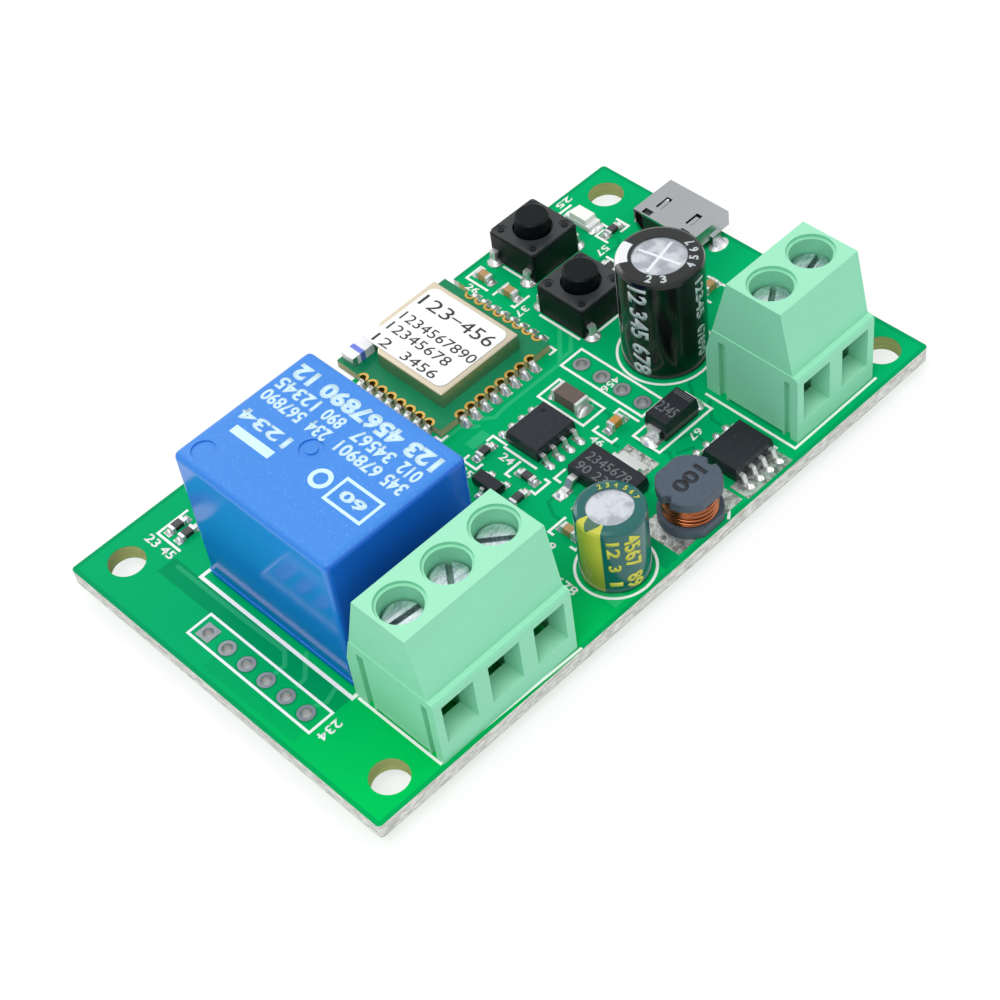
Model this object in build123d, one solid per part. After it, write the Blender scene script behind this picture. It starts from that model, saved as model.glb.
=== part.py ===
from build123d import *
import os
from math import asin, degrees, hypot, radians, tan

# Single-channel relay module board with a radio module, screw terminals and a micro connector.
# All sizes are in millimetres. Every piece is drawn from the board's near left corner, with the
# board's top face at z = 0; save() then moves it to the part's own frame, whose origin lies under
# the middle of the whole outline, on the plane of the trimmed pin tips.

# Board
BOARD_LENGTH = 67.9
BOARD_WIDTH = 40.3
BOARD_THICKNESS = 1.6
BOARD_CORNER = 0.4
HOLE_RADIUS = 1.75
HOLE_LEFT_INSET = 3.85
HOLE_RIGHT_INSET = 3.0
HOLE_FRONT_INSET = 2.9
HOLE_REAR_INSET = 3.2
NOTCH_START_X = 30.8
NOTCH_LENGTH = 16.2
NOTCH_DEPTH = 2.4
PIN_STUB = 1.5
TOUCH = 0.01
PAD_THICKNESS = 0.05
PAD_SIDES = 16
SOLDER_FOOT_RADIUS = 0.95
SOLDER_TIP_RADIUS = 0.55
SOLDER_HEIGHT = 0.9

# Layout: the room each group and each row takes, and the spare length and width that the places
# below allow for. On a larger or smaller board each piece moves by its share of the difference.
LEFT_ROOM = 23.25
MIDDLE_ROOM = 19.05
RIGHT_ROOM = 18.6
SPARE_LENGTH = 7.0
FRONT_ROOM = 8.0
CENTRE_ROOM = 13.0
REAR_ROOM = 15.3
SPARE_WIDTH = 4.0
LONGER = BOARD_LENGTH - LEFT_ROOM - MIDDLE_ROOM - RIGHT_ROOM - SPARE_LENGTH
WIDER = BOARD_WIDTH - FRONT_ROOM - CENTRE_ROOM - REAR_ROOM - SPARE_WIDTH
MIDDLE_SHARE = 0.7
HEADER_SHARE = 0.75
MODULE_SHARE = 0.8
RIGHT_SHARE = 0.92
POWER_ROW = 0.2
CAPACITOR_ROW = 0.34
CENTRE_ROW = 0.42
HEADER_ROW = 0.6
SWITCH_ROW = 0.72


def spot(x, y, share, row):
    return x + share * LONGER, y + row * WIDER


# Plated header holes
HEADER_PITCH = 2.54
HEADER_HOLE_RADIUS = 0.5
HEADER_PAD_RADIUS = 0.82
HEADER_6_X = 3.52
HEADER_6_Y = 25.35
HEADER_6_COUNT = 6
HEADER_4_PLACE = spot(46.5, 22.75, HEADER_SHARE, HEADER_ROW)
HEADER_4_COUNT = 4

# Relay
RELAY_X = 7.95
RELAY_Y = 11.28
RELAY_LENGTH_X = 15.2
RELAY_LENGTH_Y = 19.05
RELAY_HEIGHT = 15.5
RELAY_STANDOFF = 0.2
RELAY_WALL = 0.8
RELAY_EDGE = 0.6
RELAY_BASE_THICKNESS = 1.6
RELAY_FIT = 0.05
RELAY_PIN_SPREAD = 12.0
RELAY_PIN_FRONT_INSET = 2.4
RELAY_COIL_PIN_INSET = 4.4
RELAY_COMMON_PIN_INSET = 2.1
COIL_INSET = 7.0
YOKE_THICKNESS = 1.0
YOKE_WIDTH = 10.0
BOBBIN_FLANGE = 11.0
BOBBIN_FLANGE_THICKNESS = 0.8
BOBBIN_TUBE_RADIUS = 2.5
COIL_RADIUS = 4.6
CORE_RADIUS = 1.9
POLE_RADIUS = 3.2
POLE_THICKNESS = 0.5
COIL_SPACE = RELAY_HEIGHT - 7.7
ARMATURE_THICKNESS = 0.9
ARMATURE_GAP = 0.45
SPRING_THICKNESS = 0.2
SPRING_WIDTH = 3.0
CONTACT_RADIUS = 1.1
CONTACT_HEIGHT = 0.5
PIVOT_RADIUS = 0.25
PIVOT_CLEARANCE = 0.05

# Screw terminal blocks: section sizes are measured back from the front face
TERMINAL_PITCH = 5.08
TERMINAL_DEPTH = 10.5
TERMINAL_HEIGHT = 14.2
TERMINAL_TOP_FRONT = 1.93
TERMINAL_TOP_BACK = 7.9
TERMINAL_LIP_HEIGHT = 7.75
TERMINAL_LIP_DEPTH = 0.65
TERMINAL_ELBOW_HEIGHT = 5.0
TERMINAL_3_X = 15.18
TERMINAL_3_FRONT = 0.42
TERMINAL_2_X = 56.6 + RIGHT_SHARE * LONGER
TERMINAL_2_FRONT = 1.35
SCREW_INSET = 5.0
SCREW_BORE_RADIUS = 1.9
SCREW_RIM_RADIUS = 2.15
SCREW_RIM_DEPTH = 0.35
SCREW_HEAD_RADIUS = 1.75
SCREW_HEAD_TOP = 12.4
SCREW_HEAD_HEIGHT = 1.45
SCREW_RADIUS = 1.2
SCREW_SLOT_WIDTH = 0.55
SCREW_SLOT_DEPTH = 0.7
SCREW_3_ANGLES = (-6.0, 52.0, -42.0)
SCREW_2_ANGLES = (33.0, 14.0)
RUNNING_CLEARANCE = 0.1
CAGE_WIDTH = 3.9
CAGE_DEPTH = 4.2
CAGE_WALL = 0.5
CAGE_TOP_THICKNESS = 1.0
CAGE_TRAVEL = 2.2
CAGE_GAP = 0.15
ENTRY_FLOOR_DEPTH = 1.9
ENTRY_WIDTH = 3.45
ENTRY_BOTTOM = 2.1
ENTRY_TOP = 6.75
BUSBAR_THICKNESS = 0.6
BUSBAR_WIDTH = 2.5
TERMINAL_PIN = 1.0
TERMINAL_PIN_INSET = 8.1
SLOT_TOP = 6.8
SLOT_DEPTH = 0.5
FRONT_SLOT = (0.85, 1.5)
REAR_SLOT = (8.2, 9.0)

# Push switches
RIVET_INSET = 0.85
RIVET_RADIUS = 0.35
SWITCH_SIZE = 6.0
SWITCH_1_CENTRE = spot(54.45, 36.5, RIGHT_SHARE, 1)
SWITCH_2_CENTRE = spot(51.95, 27.7, RIGHT_SHARE, SWITCH_ROW)
SWITCH_BODY_TOP = 3.2
SWITCH_COVER_THICKNESS = 0.3
SWITCH_COVER_INSET = 0.1
SWITCH_WELL_RADIUS = 2.5
SWITCH_WELL_FLOOR = 1.0
BUTTON_RADIUS = 1.7
BUTTON_FLANGE_RADIUS = 2.3
BUTTON_FLANGE_THICKNESS = 0.55
BUTTON_TOP = 5.0
BUTTON_TRAVEL = 0.25
BUTTON_PLAY = 0.1
DOME_RADIUS = 2.2
DOME_RISE = 0.6
DOME_THICKNESS = 0.15
LEG_SPREAD = 6.5
LEG_SPACING = 4.5
LEG_WIDTH = 0.7
LEG_THICKNESS = 0.3

# Electrolytic capacitors: centre x, centre y, radius, height, top disc radius, lead spacing
LARGE_CAPACITOR = (*spot(52.75, 18.05, RIGHT_SHARE, CAPACITOR_ROW), 4.0, 11.6, 2.5, 3.5)
SMALL_CAPACITOR = (*spot(31.15, 3.95, MIDDLE_SHARE, 0), 3.1, 7.7, 2.03, 2.5)
SLEEVE_THICKNESS = 0.12
CAN_STANDOFF = 0.4
CAN_WALL = 0.35
SEAL_TOP = 1.5
LEAD_RADIUS = 0.3
VENT_GROOVE_WIDTH = 0.3
VENT_GROOVE_DEPTH = 0.08

# Micro connector
USB_Y = 27.75 + WIDER
USB_DEPTH = 5.3
USB_OVERHANG = 0.4
USB_WIDTH = 7.4
USB_HEIGHT = 2.55
USB_SHEET = 0.25
USB_CHAMFER = 0.8
USB_TONGUE_WIDTH = 4.6
USB_TONGUE_THICKNESS = 0.6
USB_CONTACT_PITCH = 0.65
USB_CONTACT_COUNT = 5

# Radio module
RADIO_X = 31.9 + MODULE_SHARE * LONGER
RADIO_SIZE_X = 14.0
RADIO_SIZE_Y = 14.0
RADIO_EDGE_INSET = 0.1
RADIO_THICKNESS = 0.9
RADIO_PITCH = 1.27
RADIO_ROW_COUNT = 8
RADIO_Y = BOARD_WIDTH - RADIO_EDGE_INSET - RADIO_SIZE_Y
RADIO_ROW_Y = RADIO_Y + 1.53
RADIO_ROW_X = RADIO_X + 2.6
CASTELLATION_RADIUS = 0.42
CASTELLATION_LIP = 0.18
GOLD_THICKNESS = 0.04
SHIELD_X = RADIO_X + 2.05
SHIELD_Y = RADIO_Y + 1.75
SHIELD_SIZE_X = 9.95
SHIELD_SIZE_Y = 11.3
SHIELD_HEIGHT = 1.75
SHIELD_SHEET = 0.2
SHIELD_CORNER_CUT = 2.8
LABEL_MARGIN = 0.55
LABEL_THICKNESS = 0.06
LABEL_CORNER = 0.9
ANTENNA_LENGTH = 3.2
ANTENNA_WIDTH = 1.6
ANTENNA_HEIGHT = 1.1
ANTENNA_X = RADIO_X + 0.35
ANTENNA_Y = RADIO_Y + 11.95

# Inductor
INDUCTOR_CENTRE = spot(39.5, 3.0, MIDDLE_SHARE, 0)
INDUCTOR_RADIUS = 2.9
INDUCTOR_FLATS = 5.3
INDUCTOR_HEIGHT = 4.5
INDUCTOR_FLANGE = 1.0
INDUCTOR_WAIST = 1.5
INDUCTOR_COIL_RADIUS = 2.5
INDUCTOR_NOTCH = 0.45

# Semiconductor packages
SOIC_LENGTH = 4.9
SOIC_WIDTH = 3.9
SOIC_HEIGHT = 1.6
SOIC_PITCH = 1.27
SOIC_SPAN = 6.0
SOIC_LEAD_WIDTH = 0.42
SOIC_1_CENTRE = spot(37.6, 19.15, MIDDLE_SHARE, CENTRE_ROW)
SOIC_2_CENTRE = spot(47.0, 4.25, MIDDLE_SHARE, 0)
REGULATOR_CENTRE = spot(37.5, 10.8, MIDDLE_SHARE, POWER_ROW)
REGULATOR_SIZE_X = 3.5
REGULATOR_SIZE_Y = 6.5
REGULATOR_HEIGHT = 1.7
REGULATOR_PITCH = 2.3
REGULATOR_SPAN = 7.0
REGULATOR_LEAD_WIDTH = 0.7
REGULATOR_TAB_WIDTH = 3.0
DIODE_CENTRE = spot(46.35, 11.4, MIDDLE_SHARE, POWER_ROW)
DIODE_SIZE_X = 4.3
DIODE_SIZE_Y = 2.6
DIODE_HEIGHT = 2.25
DIODE_SPAN = 5.7
DIODE_LEAD_WIDTH = 1.4
TRANSISTOR_CENTRE = spot(30.4, 18.55, MIDDLE_SHARE, CENTRE_ROW)
TRANSISTOR_SIZE_X = 1.3
TRANSISTOR_SIZE_Y = 2.9
TRANSISTOR_HEIGHT = 1.05
TRANSISTOR_PITCH = 0.95
TRANSISTOR_SPAN = 2.5
TRANSISTOR_LEAD_WIDTH = 0.42
LEAD_THICKNESS = 0.2
PACKAGE_GAP = 0.1

# Chip parts: centre x, centre y, length, width, height, and whether the length runs along Y
CHIP_LENGTH = 1.6
CHIP_WIDTH = 0.8
RESISTOR_HEIGHT = 0.45
CAPACITOR_HEIGHT = 0.8
SMALL_RESISTOR = (CHIP_LENGTH, CHIP_WIDTH, RESISTOR_HEIGHT)
SMALL_CERAMIC = (CHIP_LENGTH, CHIP_WIDTH, CAPACITOR_HEIGHT)
LARGE_CERAMIC = (3.2, 1.6, 1.25)
RESISTORS = (
    (*spot(33.1, 21.85, MIDDLE_SHARE, CENTRE_ROW), *SMALL_RESISTOR, False),
    (*spot(33.4, 16.75, MIDDLE_SHARE, CENTRE_ROW), *SMALL_RESISTOR, True),
    (*spot(31.1, 15.65, MIDDLE_SHARE, CENTRE_ROW), *SMALL_RESISTOR, False),
    (*spot(9.4, 36.7, 0, 1), *SMALL_RESISTOR, False),
    (*spot(9.4, 35.3, 0, 1), *SMALL_RESISTOR, False),
    (*spot(61.4, 32.9, RIGHT_SHARE, 1), *SMALL_RESISTOR, False),
    (*spot(57.5, 29.4, RIGHT_SHARE, SWITCH_ROW), *SMALL_RESISTOR, True),
)
CAPACITORS = (
    (*spot(42.4, 20.15, MIDDLE_SHARE, CENTRE_ROW), *LARGE_CERAMIC, True),
    (*spot(42.95, 15.1, MIDDLE_SHARE, CENTRE_ROW), *SMALL_CERAMIC, False),
    (*spot(31.2, 9.4, MIDDLE_SHARE, POWER_ROW), *SMALL_CERAMIC, True),
    (*spot(48.85, 37.9, RIGHT_SHARE, 1), *SMALL_CERAMIC, True),
    (*spot(48.85, 34.4, RIGHT_SHARE, 1), *SMALL_CERAMIC, True),
    (*spot(61.2, 20.2, RIGHT_SHARE, CENTRE_ROW), *SMALL_CERAMIC, False),
)
END_CAP_LENGTH = 0.35
LED = (*spot(60.6, 36.1, RIGHT_SHARE, 1), 3.2, 1.6, 0.5, True)
LED_LENS_HEIGHT = 0.6

CENTRE_X = (BOARD_LENGTH + USB_OVERHANG) / 2
CENTRE_Y = BOARD_WIDTH / 2
BOARD_BOTTOM = -BOARD_THICKNESS
PIN_TIP = BOARD_BOTTOM - PIN_STUB


# Helpers
def save(name, shapes):
    solids = []
    for shape in shapes if isinstance(shapes, (list, tuple)) else [shapes]:
        solids += shape.solids()
    frame = Pos(-CENTRE_X, -CENTRE_Y, -PIN_TIP)
    moved = [frame * solid for solid in solids]
    export_step(moved[0] if len(moved) == 1 else Compound(moved), "parts/" + name + ".step")


def block(x0, x1, y0, y1, z0, z1):
    low = (Align.MIN, Align.MIN, Align.MIN)
    return Pos(x0, y0, z0) * Box(x1 - x0, y1 - y0, z1 - z0, align=low)


def centred(x, y, size_x, size_y, z0, z1):
    return block(x - size_x / 2, x + size_x / 2, y - size_y / 2, y + size_y / 2, z0, z1)


def post(x, y, radius, z0, z1):
    return Pos(x, y, z0) * Cylinder(radius, z1 - z0, align=(Align.CENTER, Align.CENTER, Align.MIN))


def prism(x, y, radius, z0, z1):
    # A many-sided post, for small round pieces
    return Pos(x, y, z0) * extrude(RegularPolygon(radius, PAD_SIDES), z1 - z0)


def tapered(x, y, size_x, size_y, z0, z1, draft):
    face = Pos(x, y, z0) * Rectangle(size_x, size_y)
    return extrude(face, z1 - z0, taper=draft)


def strip_outline(points, thickness):
    # The two sides of a bent strip, mitred at each corner of its centre line
    count = len(points)
    left, right = [], []
    for i, (u, v) in enumerate(points):
        before = points[max(i - 1, 0)]
        after = points[min(i + 1, count - 1)]
        if i == 0:
            before = (2 * u - after[0], 2 * v - after[1])
        if i == count - 1:
            after = (2 * u - before[0], 2 * v - before[1])
        a, b = hypot(u - before[0], v - before[1]), hypot(after[0] - u, after[1] - v)
        n1 = (-(v - before[1]) / a, (u - before[0]) / a)
        n2 = (-(after[1] - v) / b, (after[0] - u) / b)
        mitre = (n1[0] + n2[0], n1[1] + n2[1])
        scale = thickness / (mitre[0] * n1[0] + mitre[1] * n1[1]) / 2
        left.append((u + mitre[0] * scale, v + mitre[1] * scale))
        right.append((u - mitre[0] * scale, v - mitre[1] * scale))
    return left + right[::-1]


def bent_strip(points, thickness, width):
    # A strip whose centre line lies in the XZ plane, and whose width is centred on y = 0
    outline = Polyline(*[(u, 0, v) for u, v in strip_outline(points, thickness)], close=True)
    return Pos(0, width / 2, 0) * extrude(make_face(outline), width, dir=(0, -1, 0))


def turned(outline):
    # A solid of revolution about Z from (radius, height) points
    line = Polyline(*[(r, 0, z) for r, z in outline], close=True)
    return revolve(make_face(line), Axis.Z)


# Places of the through-hole pins, each with its section (size x, size y), or a radius
def relay_pins():
    x, y = RELAY_X + RELAY_LENGTH_X / 2, RELAY_Y
    rear = RELAY_Y + RELAY_LENGTH_Y
    half = RELAY_PIN_SPREAD / 2
    return {
        "closed": (x - half, y + RELAY_PIN_FRONT_INSET, 1.2, 0.5),
        "open": (x + half, y + RELAY_PIN_FRONT_INSET, 1.2, 0.5),
        "coil_a": (x - half, rear - RELAY_COIL_PIN_INSET, 0.6, 0.6),
        "coil_b": (x + half, rear - RELAY_COIL_PIN_INSET, 0.6, 0.6),
        "common": (x, rear - RELAY_COMMON_PIN_INSET, 1.2, 0.5),
    }


def screw_places(centre_x, ways):
    first = centre_x - TERMINAL_PITCH * (ways - 1) / 2
    return [first + TERMINAL_PITCH * i for i in range(ways)]


def terminal_pins():
    places = []
    for centre_x, front, ways in ((TERMINAL_3_X, TERMINAL_3_FRONT, 3), (TERMINAL_2_X, TERMINAL_2_FRONT, 2)):
        for x in screw_places(centre_x, ways):
            places.append((x, front + TERMINAL_PIN_INSET, TERMINAL_PIN, BUSBAR_THICKNESS))
    return places


def switch_legs():
    places = []
    for side in (-1, 1):
        for end in (-1, 1):
            across, along = side * LEG_SPREAD / 2, end * LEG_SPACING / 2
            x, y = SWITCH_1_CENTRE
            places.append((x + across, y + along, LEG_THICKNESS, LEG_WIDTH))
            x, y = SWITCH_2_CENTRE
            places.append((x + along, y + across, LEG_WIDTH, LEG_THICKNESS))
    return places


def capacitor_leads():
    places = []
    for x, y, radius, height, disc, spacing in (LARGE_CAPACITOR, SMALL_CAPACITOR):
        places += [(x - spacing / 2, y), (x + spacing / 2, y)]
    return places


def square_pins():
    return list(relay_pins().values()) + terminal_pins() + switch_legs()


def drill_radius(size_x, size_y):
    return hypot(size_x, size_y) / 2 + RUNNING_CLEARANCE


def header_places():
    rows = ((HEADER_6_X, HEADER_6_Y, HEADER_6_COUNT), (*HEADER_4_PLACE, HEADER_4_COUNT))
    return [(x, y - HEADER_PITCH * i) for x, y, count in rows for i in range(count)]


def corner_holes():
    xs = (HOLE_LEFT_INSET, BOARD_LENGTH - HOLE_RIGHT_INSET)
    ys = (HOLE_FRONT_INSET, BOARD_WIDTH - HOLE_REAR_INSET)
    return [(x, y) for x in xs for y in ys]


# Board, plated holes, pads and solder
def circuit_board():
    plate = block(0, BOARD_LENGTH, 0, BOARD_WIDTH, BOARD_BOTTOM, 0)
    plate = fillet(plate.edges().filter_by(Axis.Z), BOARD_CORNER)
    notch_x = NOTCH_START_X + MODULE_SHARE * LONGER
    notch = block(notch_x, notch_x + NOTCH_LENGTH, BOARD_WIDTH - NOTCH_DEPTH, BOARD_WIDTH + 1,
                  BOARD_BOTTOM - 1, 1)
    corners = notch.edges().filter_by(Axis.Z).group_by(Axis.Y)[0]
    plate -= fillet(corners, BOARD_CORNER)
    low, high = BOARD_BOTTOM - 1, 1
    drills = [post(x, y, HOLE_RADIUS, low, high) for x, y in corner_holes()]
    drills += [post(x, y, HEADER_HOLE_RADIUS, low, high) for x, y in header_places()]
    drills += [prism(x, y, drill_radius(a, b), low, high) for x, y, a, b in square_pins()]
    drills += [prism(x, y, LEAD_RADIUS + RUNNING_CLEARANCE, low, high) for x, y in capacitor_leads()]
    return plate - drills


def header_pad(x, y, z, square):
    size = 2 * HEADER_PAD_RADIUS
    if square:
        plate = centred(x, y, size, size, z, z + PAD_THICKNESS)
    else:
        plate = prism(x, y, HEADER_PAD_RADIUS, z, z + PAD_THICKNESS)
    return plate - post(x, y, HEADER_HOLE_RADIUS, z - 1, z + 1)


def plated_holes():
    # The tinned pads round the header holes, on both faces of the board
    pads = []
    for i, (x, y) in enumerate(header_places()):
        pads.append(header_pad(x, y, 0, i == 0))
        pads.append(header_pad(x, y, BOARD_BOTTOM - PAD_THICKNESS, i == 0))
    return pads


def pad(x, y, size_x, size_y):
    return centred(x, y, size_x, size_y, 0, PAD_THICKNESS)


def chip_pads():
    pads = []
    for x, y, length, width, height, along_y in RESISTORS + CAPACITORS + (LED,):
        step = length / 2 + 0.1
        for side in (-1, 1):
            if along_y:
                pads.append(pad(x, y + side * step, width + 0.1, 0.9))
            else:
                pads.append(pad(x + side * step, y, 0.9, width + 0.1))
    return pads


def package_pads():
    x, y = SOIC_1_CENTRE
    reach = SOIC_SPAN / 2 - 0.3
    pads = [pad(x + SOIC_PITCH * (i - 1.5), y + s * reach, 0.6, 1.3) for i in range(4) for s in (-1, 1)]
    x, y = SOIC_2_CENTRE
    pads += [pad(x + SOIC_PITCH * (i - 1.5), y + reach, 0.6, 1.3) for i in range(4)]
    pads.append(pad(x - 0.2, y - reach - 0.15, 5.8, 2.1))
    x, y = REGULATOR_CENTRE
    reach = REGULATOR_SPAN / 2
    for i in (-1, 0, 1):
        pads.append(pad(x - reach + 0.1, y + REGULATOR_PITCH * i, 1.7, REGULATOR_LEAD_WIDTH + 0.4))
    pads.append(pad(x + reach - 0.05, y, 2.1, REGULATOR_TAB_WIDTH + 0.7))
    x, y = DIODE_CENTRE
    reach = DIODE_SPAN / 2 - 0.5
    pads += [pad(x + s * reach, y, 1.9, DIODE_LEAD_WIDTH + 0.4) for s in (-1, 1)]
    x, y = TRANSISTOR_CENTRE
    reach = TRANSISTOR_SPAN / 2 - 0.1
    pads += [pad(x + reach, y + s * TRANSISTOR_PITCH, 0.8, 0.7) for s in (-1, 1)]
    pads.append(pad(x - reach, y, 0.8, 0.7))
    x, y = INDUCTOR_CENTRE
    pads += [pad(x + s * (INDUCTOR_RADIUS + 0.1), y, 2.1, INDUCTOR_FLATS - 0.7) for s in (-1, 1)]
    return pads


def connector_pads():
    back = BOARD_LENGTH + USB_OVERHANG - USB_DEPTH
    pads = []
    for i in range(USB_CONTACT_COUNT):
        pads.append(pad(back - 0.25, USB_Y + USB_CONTACT_PITCH * (i - 2), 1.1, 0.4))
    return pads


def switch_rings():
    outer = hypot(LEG_WIDTH, LEG_THICKNESS) / 2 + RUNNING_CLEARANCE
    rings = []
    for x, y, a, b in switch_legs():
        rings.append(prism(x, y, outer + 0.35, 0, PAD_THICKNESS) - prism(x, y, outer, -1, 1))
    return rings


def castellation_solder():
    # Each fillet climbs from the board to the half hole in the radio module's edge
    high = RADIO_THICKNESS * 0.75
    outline = ((0, PAD_THICKNESS), (1.0, PAD_THICKNESS), (0.12, high), (0, high))
    face = make_face(Polyline(*[(u, 0, v) for u, v in outline], close=True))
    wedge = Pos(0, 0.3, 0) * extrude(face, 0.6, dir=(0, -1, 0)) + block(0, 1.15, -0.35, 0.35, 0, PAD_THICKNESS)
    return [Pos(x, y, 0) * Rot(0, 0, turn) * Pos(TOUCH, 0, 0) * wedge for x, y, turn in castellation_places()]


def tinned_pads():
    return chip_pads() + package_pads() + connector_pads() + switch_rings() + castellation_solder()


def solder_cone(x, y, bore):
    foot = Pos(x, y, BOARD_BOTTOM) * RegularPolygon(SOLDER_FOOT_RADIUS, PAD_SIDES)
    tip = Pos(x, y, BOARD_BOTTOM - SOLDER_HEIGHT) * RegularPolygon(SOLDER_TIP_RADIUS, PAD_SIDES)
    return loft([tip, foot], ruled=True) - bore


def solder_joints():
    low = PIN_TIP - 1
    joints = [solder_cone(x, y, centred(x, y, a, b, low, 1)) for x, y, a, b in square_pins()]
    joints += [solder_cone(x, y, post(x, y, LEAD_RADIUS, low, 1)) for x, y in capacitor_leads()]
    return joints


# Relay
RELAY_MID_X = RELAY_X + RELAY_LENGTH_X / 2
RELAY_REAR = RELAY_Y + RELAY_LENGTH_Y
COIL_Y = RELAY_REAR - COIL_INSET
YOKE_BOTTOM = RELAY_BASE_THICKNESS
BOBBIN_BOTTOM = YOKE_BOTTOM + YOKE_THICKNESS
BOBBIN_TOP = BOBBIN_BOTTOM + 2 * BOBBIN_FLANGE_THICKNESS + COIL_SPACE
POLE_TOP = BOBBIN_TOP + POLE_THICKNESS
ARMATURE_BOTTOM = POLE_TOP + ARMATURE_GAP
YOKE_REAR = RELAY_REAR - RELAY_WALL - 0.3
HINGE_Y = YOKE_REAR - YOKE_THICKNESS / 2
CONTACT_Y = RELAY_Y + RELAY_PIN_FRONT_INSET + 0.9
STRIP_MID = ARMATURE_BOTTOM - SPRING_THICKNESS / 2
ARMATURE_ANGLE = degrees(asin((ARMATURE_GAP - 0.05) / (HINGE_Y - COIL_Y + POLE_RADIUS)))
CONTACT_STROKE = (HINGE_Y - CONTACT_Y + CONTACT_RADIUS) * tan(radians(ARMATURE_ANGLE))


def relay_case():
    x1, y1 = RELAY_X + RELAY_LENGTH_X, RELAY_REAR
    shell = block(RELAY_X, x1, RELAY_Y, y1, RELAY_STANDOFF, RELAY_HEIGHT)
    shell = fillet(shell.edges().filter_by(Axis.Z) + shell.edges().group_by(Axis.Z)[-1], RELAY_EDGE)
    rim = block(RELAY_X - 0.1, x1 + 0.1, RELAY_Y - 0.1, y1 + 0.1, RELAY_STANDOFF, RELAY_STANDOFF + 0.5)
    shell += fillet(rim.edges().filter_by(Axis.Z), RELAY_EDGE)
    w = RELAY_WALL
    room = block(RELAY_X + w, x1 - w, RELAY_Y + w, y1 - w, -1, RELAY_HEIGHT - w)
    shell -= room
    gate, mark = RELAY_HEIGHT - 0.12, 1.1
    shell -= post(RELAY_X + 1.9, RELAY_REAR - 1.95, mark, gate, RELAY_HEIGHT + 1)
    ring = post(RELAY_MID_X + 0.1, RELAY_REAR - 8.75, mark, gate, RELAY_HEIGHT + 1)
    ring -= post(RELAY_MID_X + 0.1, RELAY_REAR - 8.75, mark / 2, gate - 1, RELAY_HEIGHT + 2)
    return shell - ring


def relay_base():
    inset = RELAY_WALL + RELAY_FIT
    x1, y1 = RELAY_X + RELAY_LENGTH_X, RELAY_REAR
    base = block(RELAY_X + inset, x1 - inset, RELAY_Y + inset, y1 - inset, 0, RELAY_BASE_THICKNESS)
    base = chamfer(base.edges().group_by(Axis.Z)[0], 0.2)
    for x, y, a, b in relay_pins().values():
        base -= centred(x, y, a, b, -1, RELAY_BASE_THICKNESS + 1)
    return base


def relay_bobbin():
    x, y, thick = RELAY_MID_X, COIL_Y, BOBBIN_FLANGE_THICKNESS
    depth = BOBBIN_FLANGE - 1.4
    spool = centred(x, y, BOBBIN_FLANGE, depth, BOBBIN_BOTTOM, BOBBIN_BOTTOM + thick)
    spool += centred(x, y, BOBBIN_FLANGE, depth, BOBBIN_TOP - thick, BOBBIN_TOP)
    spool = fillet(spool.edges().filter_by(Axis.Z), 1.2)
    spool += post(RELAY_MID_X, COIL_Y, BOBBIN_TUBE_RADIUS, BOBBIN_BOTTOM, BOBBIN_TOP)
    return spool - post(RELAY_MID_X, COIL_Y, CORE_RADIUS, BOBBIN_BOTTOM - 1, BOBBIN_TOP + 1)


def relay_winding():
    low = BOBBIN_BOTTOM + BOBBIN_FLANGE_THICKNESS
    high = BOBBIN_TOP - BOBBIN_FLANGE_THICKNESS
    coil = post(RELAY_MID_X, COIL_Y, COIL_RADIUS, low, high)
    return coil - post(RELAY_MID_X, COIL_Y, BOBBIN_TUBE_RADIUS, low - 1, high + 1)


def relay_core():
    core = post(RELAY_MID_X, COIL_Y, CORE_RADIUS, YOKE_BOTTOM, BOBBIN_TOP)
    head = post(RELAY_MID_X, COIL_Y, POLE_RADIUS, BOBBIN_TOP, POLE_TOP)
    return core + chamfer(head.edges().group_by(Axis.Z)[-1], 0.15)


def pivot_bar(radius):
    # A round bar on the hinge line, as long as the yoke is wide
    bar = Cylinder(radius, YOKE_WIDTH, rotation=(0, 90, 0))
    return Pos(RELAY_MID_X, HINGE_Y, ARMATURE_BOTTOM) * bar


def relay_yoke():
    x0, x1 = RELAY_MID_X - YOKE_WIDTH / 2, RELAY_MID_X + YOKE_WIDTH / 2
    foot = block(x0, x1, COIL_Y - POLE_RADIUS, YOKE_REAR, YOKE_BOTTOM, YOKE_BOTTOM + YOKE_THICKNESS)
    back = block(x0, x1, YOKE_REAR - YOKE_THICKNESS, YOKE_REAR, YOKE_BOTTOM, ARMATURE_BOTTOM - 0.05)
    yoke = foot + back - pivot_bar(PIVOT_RADIUS + PIVOT_CLEARANCE)
    return yoke - post(RELAY_MID_X, COIL_Y, CORE_RADIUS, YOKE_BOTTOM - 1, YOKE_BOTTOM + 3)


def relay_armature():
    x0, x1 = RELAY_MID_X - YOKE_WIDTH / 2, RELAY_MID_X + YOKE_WIDTH / 2
    front = COIL_Y - POLE_RADIUS - 1.6
    top = ARMATURE_BOTTOM + ARMATURE_THICKNESS
    plate = block(x0, x1, front, YOKE_REAR, ARMATURE_BOTTOM, top)
    nose = plate.edges().filter_by(Axis.Z).group_by(Axis.Y)[0]
    return chamfer(nose, 2.0) + pivot_bar(PIVOT_RADIUS)


def relay_contact_spring():
    front = CONTACT_Y - CONTACT_RADIUS - 0.2
    back = COIL_Y - POLE_RADIUS - 0.2
    half = SPRING_WIDTH / 2
    under = ARMATURE_BOTTOM - SPRING_THICKNESS
    blade = block(RELAY_MID_X - half, RELAY_MID_X + half, front, back, under, ARMATURE_BOTTOM)
    low = STRIP_MID - CONTACT_HEIGHT
    return blade + post(RELAY_MID_X, CONTACT_Y, CONTACT_RADIUS, low, STRIP_MID + CONTACT_HEIGHT)


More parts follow.
